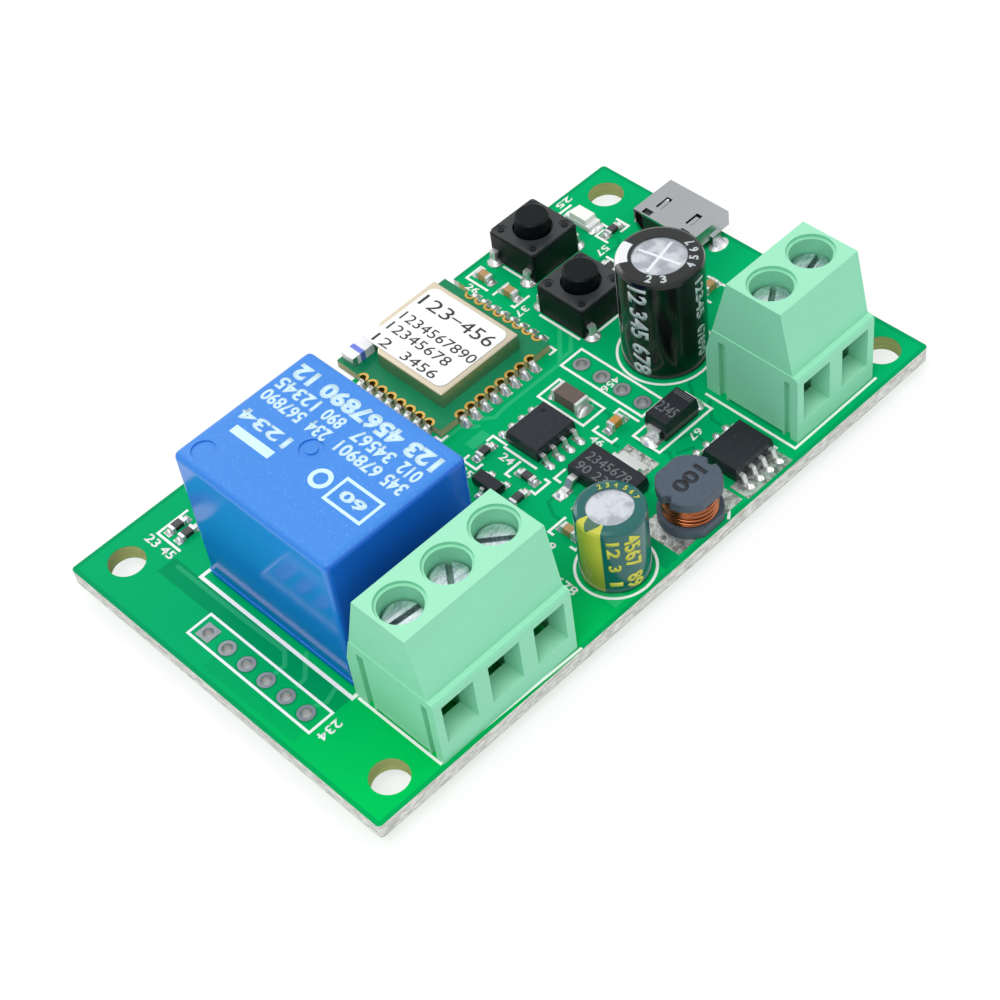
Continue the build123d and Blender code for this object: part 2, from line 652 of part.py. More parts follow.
def fixed_contact(x, y, size_x, size_y, arm_z, button_low, button_high):
    inner = RELAY_MID_X
    side = 1 if x > inner else -1
    upright = centred(x, y, size_x, size_y, PIN_TIP, arm_z)
    arm_end = inner - side * CONTACT_RADIUS
    reach = CONTACT_Y + CONTACT_RADIUS
    arm = block(min(arm_end, x + side * size_x / 2), max(arm_end, x + side * size_x / 2),
                y - size_y / 2, reach, arm_z - 0.25, arm_z)
    return upright + arm + post(inner, CONTACT_Y, CONTACT_RADIUS, button_low, button_high)


def relay_terminals():
    pins = relay_pins()
    moving_low = STRIP_MID - CONTACT_HEIGHT
    moving_high = STRIP_MID + CONTACT_HEIGHT
    lower_top = moving_low - CONTACT_STROKE - 0.05
    upper_low = moving_high + 0.03
    lower_low = lower_top - CONTACT_HEIGHT
    upper_top = upper_low + CONTACT_HEIGHT
    terminals = [fixed_contact(*pins["open"], lower_low + 0.05, lower_low, lower_top)]
    terminals.append(fixed_contact(*pins["closed"], upper_top + 0.2, upper_low, upper_top))
    for name in ("coil_a", "coil_b"):
        terminals.append(centred(*pins[name], PIN_TIP, RELAY_BASE_THICKNESS + 1.2))
    terminals.append(centred(*pins["common"], PIN_TIP, RELAY_BASE_THICKNESS))
    return terminals


# Screw terminals
BUSBAR_TOP = ENTRY_TOP + 0.25
CAGE_FLOOR_TOP = BUSBAR_TOP - BUSBAR_THICKNESS - 0.1
CAGE_BOTTOM = CAGE_FLOOR_TOP - CAGE_WALL
CAGE_TOP_LOW = BUSBAR_TOP + CAGE_TRAVEL + 0.1
CAGE_TOP = CAGE_TOP_LOW + CAGE_TOP_THICKNESS
CAVITY_TOP = CAGE_TOP + 0.1
HEAD_LOW = SCREW_HEAD_TOP - SCREW_HEAD_HEIGHT
LEDGE_TOP = HEAD_LOW - 0.05


def terminal_section(front, low, high):
    # The side outline between two heights, as (y, z) points
    slope_front = (TERMINAL_TOP_FRONT - TERMINAL_LIP_DEPTH) / (TERMINAL_HEIGHT - TERMINAL_LIP_HEIGHT)
    slope_back = (TERMINAL_DEPTH - TERMINAL_TOP_BACK) / (TERMINAL_HEIGHT - TERMINAL_ELBOW_HEIGHT)

    def front_at(z):
        return front + TERMINAL_LIP_DEPTH + slope_front * (z - TERMINAL_LIP_HEIGHT)

    def back_at(z):
        return front + TERMINAL_DEPTH - slope_back * max(z - TERMINAL_ELBOW_HEIGHT, 0)

    if low >= TERMINAL_LIP_HEIGHT:
        return [(front_at(low), low), (front_at(high), high), (back_at(high), high), (back_at(low), low)]
    points = [(front, low), (front, high - 0.35), (front + 0.15, high - 0.08), (front + 0.4, high)]
    return points + [(back_at(high), high), (back_at(TERMINAL_ELBOW_HEIGHT), TERMINAL_ELBOW_HEIGHT),
                     (front + TERMINAL_DEPTH, low)]


def side_prism(points, x0, x1):
    face = make_face(Polyline(*[(x0, y, z) for y, z in points], close=True))
    return extrude(face, x1 - x0, dir=(1, 0, 0))


def wire_entry(x, front):
    # A funnel: the floor and the sides close in from the front face to the cage
    inner_y = front + SCREW_INSET - CAGE_DEPTH / 2
    mouth = Plane((x, front - 0.02, (ENTRY_BOTTOM + ENTRY_TOP) / 2), x_dir=(1, 0, 0), z_dir=(0, -1, 0))
    throat = Plane((x, inner_y, (ENTRY_BOTTOM + ENTRY_TOP) / 2 + 0.35), x_dir=(1, 0, 0), z_dir=(0, -1, 0))
    height = ENTRY_TOP - ENTRY_BOTTOM
    return loft([mouth * Rectangle(ENTRY_WIDTH, height), throat * Rectangle(ENTRY_WIDTH - 0.8, height - 0.9)])


def terminal_housing(centre_x, front, ways):
    length = TERMINAL_PITCH * ways
    x0, x1 = centre_x - length / 2, centre_x + length / 2
    step = 0.1
    body = side_prism(terminal_section(front, 0, TERMINAL_LIP_HEIGHT), x0, x1)
    upper = terminal_section(front, TERMINAL_LIP_HEIGHT, TERMINAL_HEIGHT)
    body += side_prism(upper, x0 + step, x1 - step)
    body -= block(x0 - 1, x1 + 1, front + 1.7, front + REAR_SLOT[0] - 0.2, -1, 0.35)
    cage_x, cage_y = CAGE_WIDTH / 2 + CAGE_GAP, CAGE_DEPTH / 2 + CAGE_GAP
    pin_y = front + TERMINAL_PIN_INSET
    for x in screw_places(centre_x, ways):
        y = front + SCREW_INSET
        body -= post(x, y, SCREW_BORE_RADIUS, LEDGE_TOP, TERMINAL_HEIGHT + 1)
        body -= post(x, y, SCREW_RIM_RADIUS, TERMINAL_HEIGHT - SCREW_RIM_DEPTH, TERMINAL_HEIGHT + 1)
        body -= post(x, y, SCREW_RADIUS + 0.25, CAVITY_TOP - 1, LEDGE_TOP + 1)
        body -= block(x - cage_x, x + cage_x, y - cage_y, y + cage_y, -1, CAVITY_TOP)
        body -= wire_entry(x, front)
        mouth = ENTRY_WIDTH / 2
        body -= block(x - mouth, x + mouth, front + ENTRY_FLOOR_DEPTH, y, -1, CAGE_BOTTOM)
        body -= centred(x, pin_y, BUSBAR_WIDTH, BUSBAR_THICKNESS, -1, BUSBAR_TOP)
        half = BUSBAR_WIDTH / 2
        body -= block(x - half, x + half, y, pin_y, BUSBAR_TOP - BUSBAR_THICKNESS, BUSBAR_TOP)
    for near, far in (FRONT_SLOT, REAR_SLOT):
        y0, y1 = front + near, front + far
        body -= block(x0 - 1, x0 + SLOT_DEPTH, y0, y1, -1, SLOT_TOP)
        body += block(x1 - 0.1, x1 + SLOT_DEPTH - 0.1, y0 + 0.06, y1 - 0.06, 0.35, SLOT_TOP - 0.4)
    return body


def terminal_screw(x, front, angle):
    y = front + SCREW_INSET
    head = post(x, y, SCREW_HEAD_RADIUS, HEAD_LOW, SCREW_HEAD_TOP)
    head = fillet(head.edges().group_by(Axis.Z)[-1], 0.2)
    screw = head + post(x, y, SCREW_RADIUS, BUSBAR_TOP + 0.05, HEAD_LOW)
    slot_low = SCREW_HEAD_TOP - SCREW_SLOT_DEPTH
    slot = centred(0, 0, 2 * SCREW_HEAD_RADIUS + 1, SCREW_SLOT_WIDTH, slot_low, SCREW_HEAD_TOP + 1)
    return screw - Pos(x, y, 0) * Rot(0, 0, angle) * slot


def terminal_clamp(x, front):
    y = front + SCREW_INSET
    cage = centred(x, y, CAGE_WIDTH, CAGE_DEPTH, CAGE_BOTTOM, CAGE_TOP)
    cage = fillet(cage.edges().filter_by(Axis.Y), 0.3)
    inner = CAGE_WIDTH - 2 * CAGE_WALL
    cage -= centred(x, y, inner, CAGE_DEPTH + 1, CAGE_FLOOR_TOP, CAGE_TOP_LOW)
    return cage - post(x, y, SCREW_RADIUS + RUNNING_CLEARANCE, CAGE_TOP_LOW - 1, CAGE_TOP + 1)


def terminal_pin(x, front):
    y, pin_y = front + SCREW_INSET, front + TERMINAL_PIN_INSET
    low, half = BUSBAR_TOP - BUSBAR_THICKNESS, BUSBAR_WIDTH / 2
    bar_front, bar_back = y - CAGE_DEPTH / 2 + 0.3, pin_y + BUSBAR_THICKNESS / 2
    bar = block(x - half, x + half, bar_front, bar_back, low, BUSBAR_TOP)
    bar += centred(x, pin_y, BUSBAR_WIDTH, BUSBAR_THICKNESS, 0, BUSBAR_TOP)
    tail = centred(x, pin_y, TERMINAL_PIN, BUSBAR_THICKNESS, PIN_TIP, 0)
    return bar + tail


# Push switches
def rivet_places(x, y):
    step = SWITCH_SIZE / 2 - RIVET_INSET
    return [(x + i * step, y + j * step) for i in (-1, 1) for j in (-1, 1)]


def switch_base(x, y):
    base = centred(x, y, SWITCH_SIZE, SWITCH_SIZE, 0.1, SWITCH_BODY_TOP)
    base = fillet(base.edges().filter_by(Axis.Z), 0.3)
    base -= post(x, y, SWITCH_WELL_RADIUS, SWITCH_WELL_FLOOR, SWITCH_BODY_TOP + 1)
    high = SWITCH_BODY_TOP + SWITCH_COVER_THICKNESS
    for rivet_x, rivet_y in rivet_places(x, y):
        base += prism(rivet_x, rivet_y, RIVET_RADIUS, SWITCH_BODY_TOP, high)
    for i in (-1, 1):
        for j in (-1, 1):
            base += prism(x + 1.3 * i, y + 1.3 * j, 0.5, 0, 0.1)
    return base


def switch_cover(x, y):
    size = SWITCH_SIZE - 2 * SWITCH_COVER_INSET
    low, high = SWITCH_BODY_TOP, SWITCH_BODY_TOP + SWITCH_COVER_THICKNESS
    plate = centred(x, y, size, size, low, high)
    plate = fillet(plate.edges().filter_by(Axis.Z), 0.35)
    plate -= post(x, y, BUTTON_RADIUS + 0.25, low - 1, high + 1)
    for rivet_x, rivet_y in rivet_places(x, y):
        plate -= prism(rivet_x, rivet_y, RIVET_RADIUS, low - 1, high + 1)
        plate -= prism(rivet_x, rivet_y, RIVET_RADIUS + 0.25, high - 0.08, high + 1)
    return plate


def switch_button(x, y):
    top = SWITCH_BODY_TOP - BUTTON_PLAY
    low = top - BUTTON_FLANGE_THICKNESS
    stem = post(x, y, BUTTON_RADIUS, low, BUTTON_TOP)
    stem = fillet(stem.edges().group_by(Axis.Z)[-1], 0.25)
    nub_low = dome_top() + BUTTON_TRAVEL + 0.05
    return stem + post(x, y, BUTTON_FLANGE_RADIUS, low, top) + post(x, y, 0.6, nub_low, low)


def dome_top():
    return SWITCH_WELL_FLOOR + DOME_RISE + DOME_THICKNESS


def switch_dome(x, y):
    # A shallow snap disc: a cap of a sphere through its rim and crown
    def cap(radius, rise, base):
        ball = (radius ** 2 + rise ** 2) / (2 * rise)
        return Pos(x, y, base + rise - ball) * Sphere(ball) & post(x, y, radius, base, base + rise + 1)
    outer = cap(DOME_RADIUS, DOME_RISE + DOME_THICKNESS, SWITCH_WELL_FLOOR)
    return outer - cap(DOME_RADIUS - 0.3, DOME_RISE, SWITCH_WELL_FLOOR)


def switch_leg_set(x, y, turn):
    # A leg leaves the base, steps out, then kinks inward and runs straight down through the board
    out = LEG_SPREAD / 2
    run = [(SWITCH_SIZE / 2, 1.35), (out + 0.12, 1.35), (out + 0.2, 0.75), (out, 0.25), (out, PIN_TIP)]
    leg = bent_strip(run, LEG_THICKNESS, LEG_WIDTH)
    legs = []
    for side in (0, 180):
        for end in (-1, 1):
            legs.append(Pos(x, y, 0) * Rot(0, 0, turn + side) * Pos(0, end * LEG_SPACING / 2, 0) * leg)
    return legs


# Electrolytic capacitors
def capacitor_can(x, y, radius, height, disc, spacing):
    r = radius - SLEEVE_THICKNESS
    top = height - SLEEVE_THICKNESS
    low = CAN_STANDOFF
    seal = r - CAN_WALL
    outline = [(0, SEAL_TOP), (seal, SEAL_TOP), (seal, low), (r, low), (r, SEAL_TOP - 0.4),
               (r - 0.25, SEAL_TOP - 0.1), (r, SEAL_TOP + 0.2), (r, top - 0.4), (r - 0.12, top - 0.12),
               (r - 0.4, top), (0, top)]
    return Pos(x, y, 0) * turned(outline)


def vent_cross(x, y, height, disc):
    low = height - SLEEVE_THICKNESS - VENT_GROOVE_DEPTH
    cross = Box(2 * disc * 0.86, VENT_GROOVE_WIDTH, 1) + Box(VENT_GROOVE_WIDTH, 2 * disc * 0.86, 1)
    return Pos(x, y, low + 0.5) * Rot(0, 0, 12) * cross


def capacitor_sleeve(x, y, radius, height, disc, spacing):
    inner = radius - SLEEVE_THICKNESS
    top = height - SLEEVE_THICKNESS
    low = CAN_STANDOFF - 0.05
    outline = [(inner, low), (radius, low), (radius, height - 0.4), (radius - 0.12, height - 0.12),
               (radius - 0.4, height), (disc, height), (disc, top), (inner - 0.4, top),
               (inner - 0.12, top - 0.12), (inner, top - 0.4)]
    return Pos(x, y, 0) * turned(outline)


def capacitor_seal(x, y, radius, height, disc, spacing):
    bung = post(x, y, radius - SLEEVE_THICKNESS - CAN_WALL, 0, SEAL_TOP)
    for side in (-1, 1):
        bung -= post(x + side * spacing / 2, y, LEAD_RADIUS, -1, SEAL_TOP + 1)
    return bung


def capacitor_lead_pair(x, y, radius, height, disc, spacing):
    return [post(x + side * spacing / 2, y, LEAD_RADIUS, PIN_TIP, SEAL_TOP) for side in (-1, 1)]


# Micro connector
def usb_section(inset):
    half, high, cut = USB_WIDTH / 2 - inset, USB_HEIGHT - inset, USB_CHAMFER
    low = 0.1 + inset
    return [(USB_Y - half, high), (USB_Y + half, high), (USB_Y + half, low + cut),
            (USB_Y + half - cut, low), (USB_Y - half + cut, low), (USB_Y - half, low + cut)]


def usb_shell():
    front = BOARD_LENGTH + USB_OVERHANG
    back = front - USB_DEPTH
    shell = side_prism(usb_section(0), back, front)
    shell -= side_prism(usb_section(USB_SHEET), back - 1, front + 1)
    for side in (-1, 1):
        edge = USB_Y + side * USB_WIDTH / 2
        tab = block(front - 2.6, front - 1.4, min(edge, edge + side * 0.7), max(edge, edge + side * 0.7),
                    0.02, 0.02 + USB_SHEET)
        upright = block(front - 2.6, front - 1.4, min(edge, edge + side * USB_SHEET),
                        max(edge, edge + side * USB_SHEET), 0.02, 1.2)
        shell += tab + upright
        window = centred(front - 2.9, USB_Y + side * 1.9, 1.7, 0.7, USB_HEIGHT - 1, USB_HEIGHT + 1)
        low = USB_HEIGHT - USB_SHEET - 0.1
        spring = centred(front - 3.05, USB_Y + side * 1.9, 1.4, 0.4, low, USB_HEIGHT - 0.12)
        shell = shell - window + spring
        shell -= centred(back + 0.5, USB_Y + side * 2.3, 0.7, 1.0, USB_HEIGHT - 1, USB_HEIGHT + 1)
    return shell


def usb_tongue():
    front = BOARD_LENGTH + USB_OVERHANG
    back = front - USB_DEPTH
    half = USB_WIDTH / 2 - USB_SHEET - USB_CHAMFER
    rear = block(back + 0.1, back + 1.4, USB_Y - half, USB_Y + half, 0.1 + USB_SHEET, USB_HEIGHT - USB_SHEET)
    low = 1.35
    tongue = block(back + 1.4, front - 0.9, USB_Y - USB_TONGUE_WIDTH / 2, USB_Y + USB_TONGUE_WIDTH / 2,
                   low, low + USB_TONGUE_THICKNESS)
    body = rear + tongue
    for contact in usb_contacts():
        body -= contact
    return body


def usb_contacts():
    front = BOARD_LENGTH + USB_OVERHANG
    back = front - USB_DEPTH
    contacts = []
    for i in range(USB_CONTACT_COUNT):
        run = [(back - 0.55, 0.12), (back - 0.1, 0.12), (back + 0.35, 1.3), (front - 1.3, 1.3)]
        strip = bent_strip(run, 0.12, 0.3)
        contacts.append(Pos(0, USB_Y + USB_CONTACT_PITCH * (i - 2), 0) * strip)
    return contacts


# Radio module
def castellation_places():
    # (x, y, turn): the turn points from the half hole outward
    places = []
    for i in range(RADIO_ROW_COUNT):
        y = RADIO_ROW_Y + RADIO_PITCH * i
        places.append((RADIO_X, y, 180))
        places.append((RADIO_X + RADIO_SIZE_X, y, 0))
        places.append((RADIO_ROW_X + RADIO_PITCH * i, RADIO_Y, -90))
    return places


def radio_board():
    plate = block(RADIO_X, RADIO_X + RADIO_SIZE_X, RADIO_Y, RADIO_Y + RADIO_SIZE_Y, 0, RADIO_THICKNESS)
    bites = [prism(x, y, CASTELLATION_RADIUS, -1, RADIO_THICKNESS + 1) for x, y, turn in castellation_places()]
    return plate - bites


def castellation(x, y, turn):
    # A lining of the half hole, with a lip on the module's top face
    outer = CASTELLATION_RADIUS
    high = RADIO_THICKNESS + GOLD_THICKNESS
    lining = prism(0, 0, outer, 0, high) + prism(0, 0, outer + CASTELLATION_LIP, RADIO_THICKNESS, high)
    lining -= prism(0, 0, outer - 2 * GOLD_THICKNESS, -1, high + 1)
    half = lining & block(-2, 0, -2, 2, -1, high + 1)
    return Pos(x, y, 0) * Rot(0, 0, turn) * half


def radio_castellations():
    return [castellation(*place) for place in castellation_places()]


def shield_outline(inset):
    x0, x1 = SHIELD_X + inset, SHIELD_X + SHIELD_SIZE_X - inset
    y0, y1 = SHIELD_Y + inset, SHIELD_Y + SHIELD_SIZE_Y - inset
    cut = SHIELD_CORNER_CUT - inset * (2 - 2 ** 0.5)
    return [(x0, y0), (x1, y0), (x1, y1), (x0 + cut, y1), (x0, y1 - cut)]


def radio_shield():
    base, top = RADIO_THICKNESS, RADIO_THICKNESS + SHIELD_HEIGHT
    outer = extrude(Pos(0, 0, base) * make_face(Polyline(*shield_outline(0), close=True)), top - base)
    outer = fillet(outer.edges().filter_by(Axis.Z) + outer.edges().group_by(Axis.Z)[-1], 0.15)
    inner = make_face(Polyline(*shield_outline(SHIELD_SHEET), close=True))
    return outer - extrude(Pos(0, 0, base - 1) * inner, top - base + 1 - SHIELD_SHEET)


def radio_label():
    top = RADIO_THICKNESS + SHIELD_HEIGHT
    m = LABEL_MARGIN
    label = block(SHIELD_X + m, SHIELD_X + SHIELD_SIZE_X - m, SHIELD_Y + m, SHIELD_Y + SHIELD_SIZE_Y - m,
                  top, top + LABEL_THICKNESS)
    return fillet(label.edges().filter_by(Axis.Z), LABEL_CORNER)


def radio_antenna():
    x0, y0 = ANTENNA_X, ANTENNA_Y
    x1, y1 = x0 + ANTENNA_LENGTH, y0 + ANTENNA_WIDTH
    base, top = RADIO_THICKNESS, RADIO_THICKNESS + ANTENNA_HEIGHT
    end = 0.55
    pieces = [block(x0, x0 + end, y0, y1, base, top), block(x1 - end, x1, y0, y1, base, top)]
    pieces.append(block(x0 + end, x1 - end, y0 + 0.04, y1 - 0.04, base + 0.04, top - 0.04))
    return pieces


# Inductor
def inductor_flange(z0, z1, notched):
    x, y = INDUCTOR_CENTRE
    disc = post(x, y, INDUCTOR_RADIUS, z0, z1)
    disc &= centred(x, y, 2 * INDUCTOR_RADIUS + 1, INDUCTOR_FLATS, z0 - 1, z1 + 1)
    for side in (-1, 1) if notched else ():
        disc -= post(x + side * INDUCTOR_RADIUS, y, INDUCTOR_NOTCH, z0 - 1, z1 + 1)
    return disc


def inductor_core():
    x, y = INDUCTOR_CENTRE
    top = INDUCTOR_HEIGHT
    core = inductor_flange(PAD_THICKNESS, PAD_THICKNESS + INDUCTOR_FLANGE, False)
    upper = inductor_flange(top - INDUCTOR_FLANGE, top, True)
    core += chamfer(upper.edges().group_by(Axis.Z)[-1], 0.12)
    return core + post(x, y, INDUCTOR_WAIST, PAD_THICKNESS, top)


def inductor_winding():
    low, high = PAD_THICKNESS + INDUCTOR_FLANGE, INDUCTOR_HEIGHT - INDUCTOR_FLANGE
    r = INDUCTOR_COIL_RADIUS
    outline = [(INDUCTOR_WAIST, low), (r - 0.25, low), (r, low + 0.4), (r, high - 0.4), (r - 0.25, high),
               (INDUCTOR_WAIST, high)]
    return Pos(*INDUCTOR_CENTRE, 0) * turned(outline)


# Semiconductor packages and their leads
def moulded(x, y, size_x, size_y, low, high, draft=7.0):
    # A moulded body with its widest line at mid height
    mid = (low + high) / 2
    top = tapered(x, y, size_x, size_y, mid, high, draft)
    bottom = Pos(x, y, mid) * Rot(180, 0, 0) * extrude(Rectangle(size_x, size_y), mid - low, taper=draft)
    return top + bottom


def chip_packages():
    bodies = []
    for x, y in (SOIC_1_CENTRE, SOIC_2_CENTRE):
        bodies.append(moulded(x, y, SOIC_LENGTH, SOIC_WIDTH, PACKAGE_GAP, SOIC_HEIGHT))
    x, y = SOIC_1_CENTRE
    bodies[0] -= post(x + SOIC_LENGTH / 2 - 0.95, y + SOIC_WIDTH / 2 - 0.95, 0.25, SOIC_HEIGHT - 0.08, 3)
    gap = PACKAGE_GAP
    bodies.append(moulded(*REGULATOR_CENTRE, REGULATOR_SIZE_X, REGULATOR_SIZE_Y, gap, REGULATOR_HEIGHT))
    bodies.append(moulded(*DIODE_CENTRE, DIODE_SIZE_X, DIODE_SIZE_Y, gap, DIODE_HEIGHT))
    bodies.append(moulded(*TRANSISTOR_CENTRE, TRANSISTOR_SIZE_X, TRANSISTOR_SIZE_Y, gap, TRANSISTOR_HEIGHT))
    return bodies


def gull_wing(root, reach, shoulder, thickness, width):
    foot, out = PAD_THICKNESS + thickness / 2, reach - root
    run = [(root, shoulder), (root + out * 0.35, shoulder), (root + out * 0.6, foot), (reach, foot)]
    return bent_strip(run, thickness, width)


def soic_leads(centre):
    x, y = centre
    mid = (PACKAGE_GAP + SOIC_HEIGHT) / 2
    lead = gull_wing(SOIC_WIDTH / 2 - 0.02, SOIC_SPAN / 2, mid, LEAD_THICKNESS, SOIC_LEAD_WIDTH)
    leads = []
    for i in range(4):
        for turn in (-90, 90):
            leads.append(Pos(x + SOIC_PITCH * (i - 1.5), y, 0) * Rot(0, 0, turn) * lead)
    return leads


def regulator_leads():
    x, y = REGULATOR_CENTRE
    mid = (PACKAGE_GAP + REGULATOR_HEIGHT) / 2
    root = REGULATOR_SIZE_X / 2 - 0.02
    lead = gull_wing(root, REGULATOR_SPAN / 2, mid, 0.26, REGULATOR_LEAD_WIDTH)
    tab = gull_wing(root, REGULATOR_SPAN / 2, mid, 0.26, REGULATOR_TAB_WIDTH)
    leads = [Pos(x, y + REGULATOR_PITCH * i, 0) * Rot(0, 0, 180) * lead for i in (-1, 0, 1)]
    return leads + [Pos(x, y, 0) * tab]


def diode_leads():
    x, y = DIODE_CENTRE
    mid = (PACKAGE_GAP + DIODE_HEIGHT) / 2
    root = DIODE_SIZE_X / 2 - 0.02
    drop = root + 0.29
    foot = PAD_THICKNESS + LEAD_THICKNESS / 2
    run = [(root, mid), (drop, mid), (drop, foot), (DIODE_SPAN / 2, foot)]
    lead = bent_strip(run, LEAD_THICKNESS, DIODE_LEAD_WIDTH)
    return [Pos(x, y, 0) * Rot(0, 0, turn) * lead for turn in (0, 180)]


def transistor_leads():
    x, y = TRANSISTOR_CENTRE
    mid = (PACKAGE_GAP + TRANSISTOR_HEIGHT) / 2
    lead = gull_wing(TRANSISTOR_SIZE_X / 2 - 0.02, TRANSISTOR_SPAN / 2, mid, 0.14, TRANSISTOR_LEAD_WIDTH)
    places = ((TRANSISTOR_PITCH, 0), (-TRANSISTOR_PITCH, 0), (0, 180))
    return [Pos(x, y + dy, 0) * Rot(0, 0, turn) * lead for dy, turn in places]


def chip_leads():
    leads = soic_leads(SOIC_1_CENTRE) + soic_leads(SOIC_2_CENTRE)
    leads += regulator_leads() + diode_leads() + transistor_leads()
    bodies = chip_packages()
    return [lead - bodies for lead in leads]


# Chip resistors, chip capacitors and the indicator
def chip_body(x, y, length, width, height, along_y):
    inner = length - 2 * END_CAP_LENGTH
    size = (width - 0.04, inner) if along_y else (inner, width - 0.04)
    return centred(x, y, *size, PAD_THICKNESS + 0.02, PAD_THICKNESS + height - 0.02)


def chip_ends(x, y, length, width, height, along_y):
    step = (length - END_CAP_LENGTH) / 2
    ends = []
    for side in (-1, 1):
        if along_y:
            end = centred(x, y + side * step, width, END_CAP_LENGTH, PAD_THICKNESS, PAD_THICKNESS + height)
        else:
            end = centred(x + side * step, y, END_CAP_LENGTH, width, PAD_THICKNESS, PAD_THICKNESS + height)
        ends.append(chamfer(end.edges().group_by(Axis.Z)[-1], 0.05))
    return ends


def chip_end_caps():
    ends = []
    for chip in RESISTORS + CAPACITORS:
        ends += chip_ends(*chip)
    return ends


def indicator_led():
    x, y, length, width, height, along_y = LED
    base = centred(x, y, width, length, PAD_THICKNESS, PAD_THICKNESS + height)
    lens_low = PAD_THICKNESS + height
    lens = tapered(x, y, width - 0.1, length - 1.0, lens_low, lens_low + LED_LENS_HEIGHT, 6.0)
    return base + lens


# Nodes
def save_relay():
    save("relay_case", relay_case())
    save("relay_base", relay_base())
    save("relay_bobbin", relay_bobbin())
    save("relay_winding", relay_winding())
    save("relay_core", relay_core())
    save("relay_yoke", relay_yoke())
    save("relay_armature", relay_armature())
    save("relay_contact_spring", relay_contact_spring())
    save("relay_terminals", relay_terminals())


def save_terminal(name, centre_x, front, angles):
    places = screw_places(centre_x, len(angles))
    save(name + "_housing", terminal_housing(centre_x, front, len(angles)))
    save(name + "_pins", [terminal_pin(x, front) for x in places])
    for i, (x, angle) in enumerate(zip(places, angles), 1):
        save("%s_screw_%d" % (name, i), terminal_screw(x, front, angle))
        save("%s_clamp_%d" % (name, i), terminal_clamp(x, front))


def save_switch(name, centre, turn):
    save(name + "_base", switch_base(*centre))
    save(name + "_cover", switch_cover(*centre))
    save(name + "_button", switch_button(*centre))
    save(name + "_dome", switch_dome(*centre))
    save(name + "_legs", switch_leg_set(*centre, turn))


def save_capacitors():
    can = capacitor_can(*LARGE_CAPACITOR)
    x, y, radius, height, disc, spacing = LARGE_CAPACITOR
    save("capacitor_large_can", can - vent_cross(x, y, height, disc))
    save("capacitor_large_sleeve", capacitor_sleeve(*LARGE_CAPACITOR))
    save("capacitor_large_leads", capacitor_lead_pair(*LARGE_CAPACITOR))
    save("capacitor_small_can", capacitor_can(*SMALL_CAPACITOR))
    save("capacitor_small_sleeve", capacitor_sleeve(*SMALL_CAPACITOR))
    save("capacitor_small_leads", capacitor_lead_pair(*SMALL_CAPACITOR))
    save("capacitor_seals", [capacitor_seal(*LARGE_CAPACITOR), capacitor_seal(*SMALL_CAPACITOR)])


def main():
    os.makedirs("parts", exist_ok=True)
    save("circuit_board", circuit_board())
    save("plated_holes", plated_holes())
    save("tinned_pads", tinned_pads())
    save("solder_joints", solder_joints())
    save_relay()
    save_terminal("terminal_3", TERMINAL_3_X, TERMINAL_3_FRONT, SCREW_3_ANGLES)
    save_terminal("terminal_2", TERMINAL_2_X, TERMINAL_2_FRONT, SCREW_2_ANGLES)
    save_switch("switch_1", SWITCH_1_CENTRE, 0)
    save_switch("switch_2", SWITCH_2_CENTRE, 90)
    save_capacitors()
    save("usb_shell", usb_shell())
    save("usb_tongue", usb_tongue())
    save("usb_contacts", usb_contacts())
    save("radio_board", radio_board())
    save("radio_castellations", radio_castellations())
    save("radio_shield", radio_shield())
    save("radio_label", radio_label())
    save("radio_antenna", radio_antenna())
    save("inductor_core", inductor_core())
    save("inductor_winding", inductor_winding())
    save("chip_packages", chip_packages())
    save("chip_leads", chip_leads())
    save("chip_resistors", [chip_body(*chip) for chip in RESISTORS])
    save("chip_capacitors", [chip_body(*chip) for chip in CAPACITORS])
    save("chip_end_caps", chip_end_caps())
    save("indicator_led", indicator_led())


main()
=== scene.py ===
from math import cos, degrees, hypot, radians, sin

import bpy
from bpy.props import FloatProperty, FloatVectorProperty, PointerProperty
from mathutils import Matrix, Vector


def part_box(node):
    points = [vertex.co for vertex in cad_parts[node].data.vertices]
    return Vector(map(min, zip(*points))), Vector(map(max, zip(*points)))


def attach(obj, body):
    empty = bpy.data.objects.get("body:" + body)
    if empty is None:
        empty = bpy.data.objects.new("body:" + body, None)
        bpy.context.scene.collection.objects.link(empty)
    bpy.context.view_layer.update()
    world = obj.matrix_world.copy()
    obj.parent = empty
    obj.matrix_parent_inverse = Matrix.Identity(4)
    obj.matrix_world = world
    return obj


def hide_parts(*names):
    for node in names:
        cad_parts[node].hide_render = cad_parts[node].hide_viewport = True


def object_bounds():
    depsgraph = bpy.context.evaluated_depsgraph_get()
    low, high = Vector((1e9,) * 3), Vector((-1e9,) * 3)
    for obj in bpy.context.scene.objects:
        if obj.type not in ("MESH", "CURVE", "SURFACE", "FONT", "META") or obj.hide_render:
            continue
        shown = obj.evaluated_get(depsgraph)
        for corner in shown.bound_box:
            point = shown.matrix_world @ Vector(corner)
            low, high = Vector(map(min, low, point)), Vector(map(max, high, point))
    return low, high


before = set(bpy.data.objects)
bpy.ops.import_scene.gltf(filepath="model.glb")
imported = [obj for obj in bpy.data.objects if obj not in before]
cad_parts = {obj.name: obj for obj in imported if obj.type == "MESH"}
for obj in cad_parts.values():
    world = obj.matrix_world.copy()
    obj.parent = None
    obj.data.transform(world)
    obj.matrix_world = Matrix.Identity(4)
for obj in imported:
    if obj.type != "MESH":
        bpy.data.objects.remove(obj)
CAD_LOW, CAD_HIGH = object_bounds()

bl_info = {
    "name": "Relay Module Board",
    "version": (1, 0, 0),
    "blender": (4, 5, 0),
    "location": "View3D > Sidebar > Relay Board",
    "description": "Dresses the relay module board: board print, solder, finishes and a photo stage",
    "category": "Object",
}

MM = 0.001
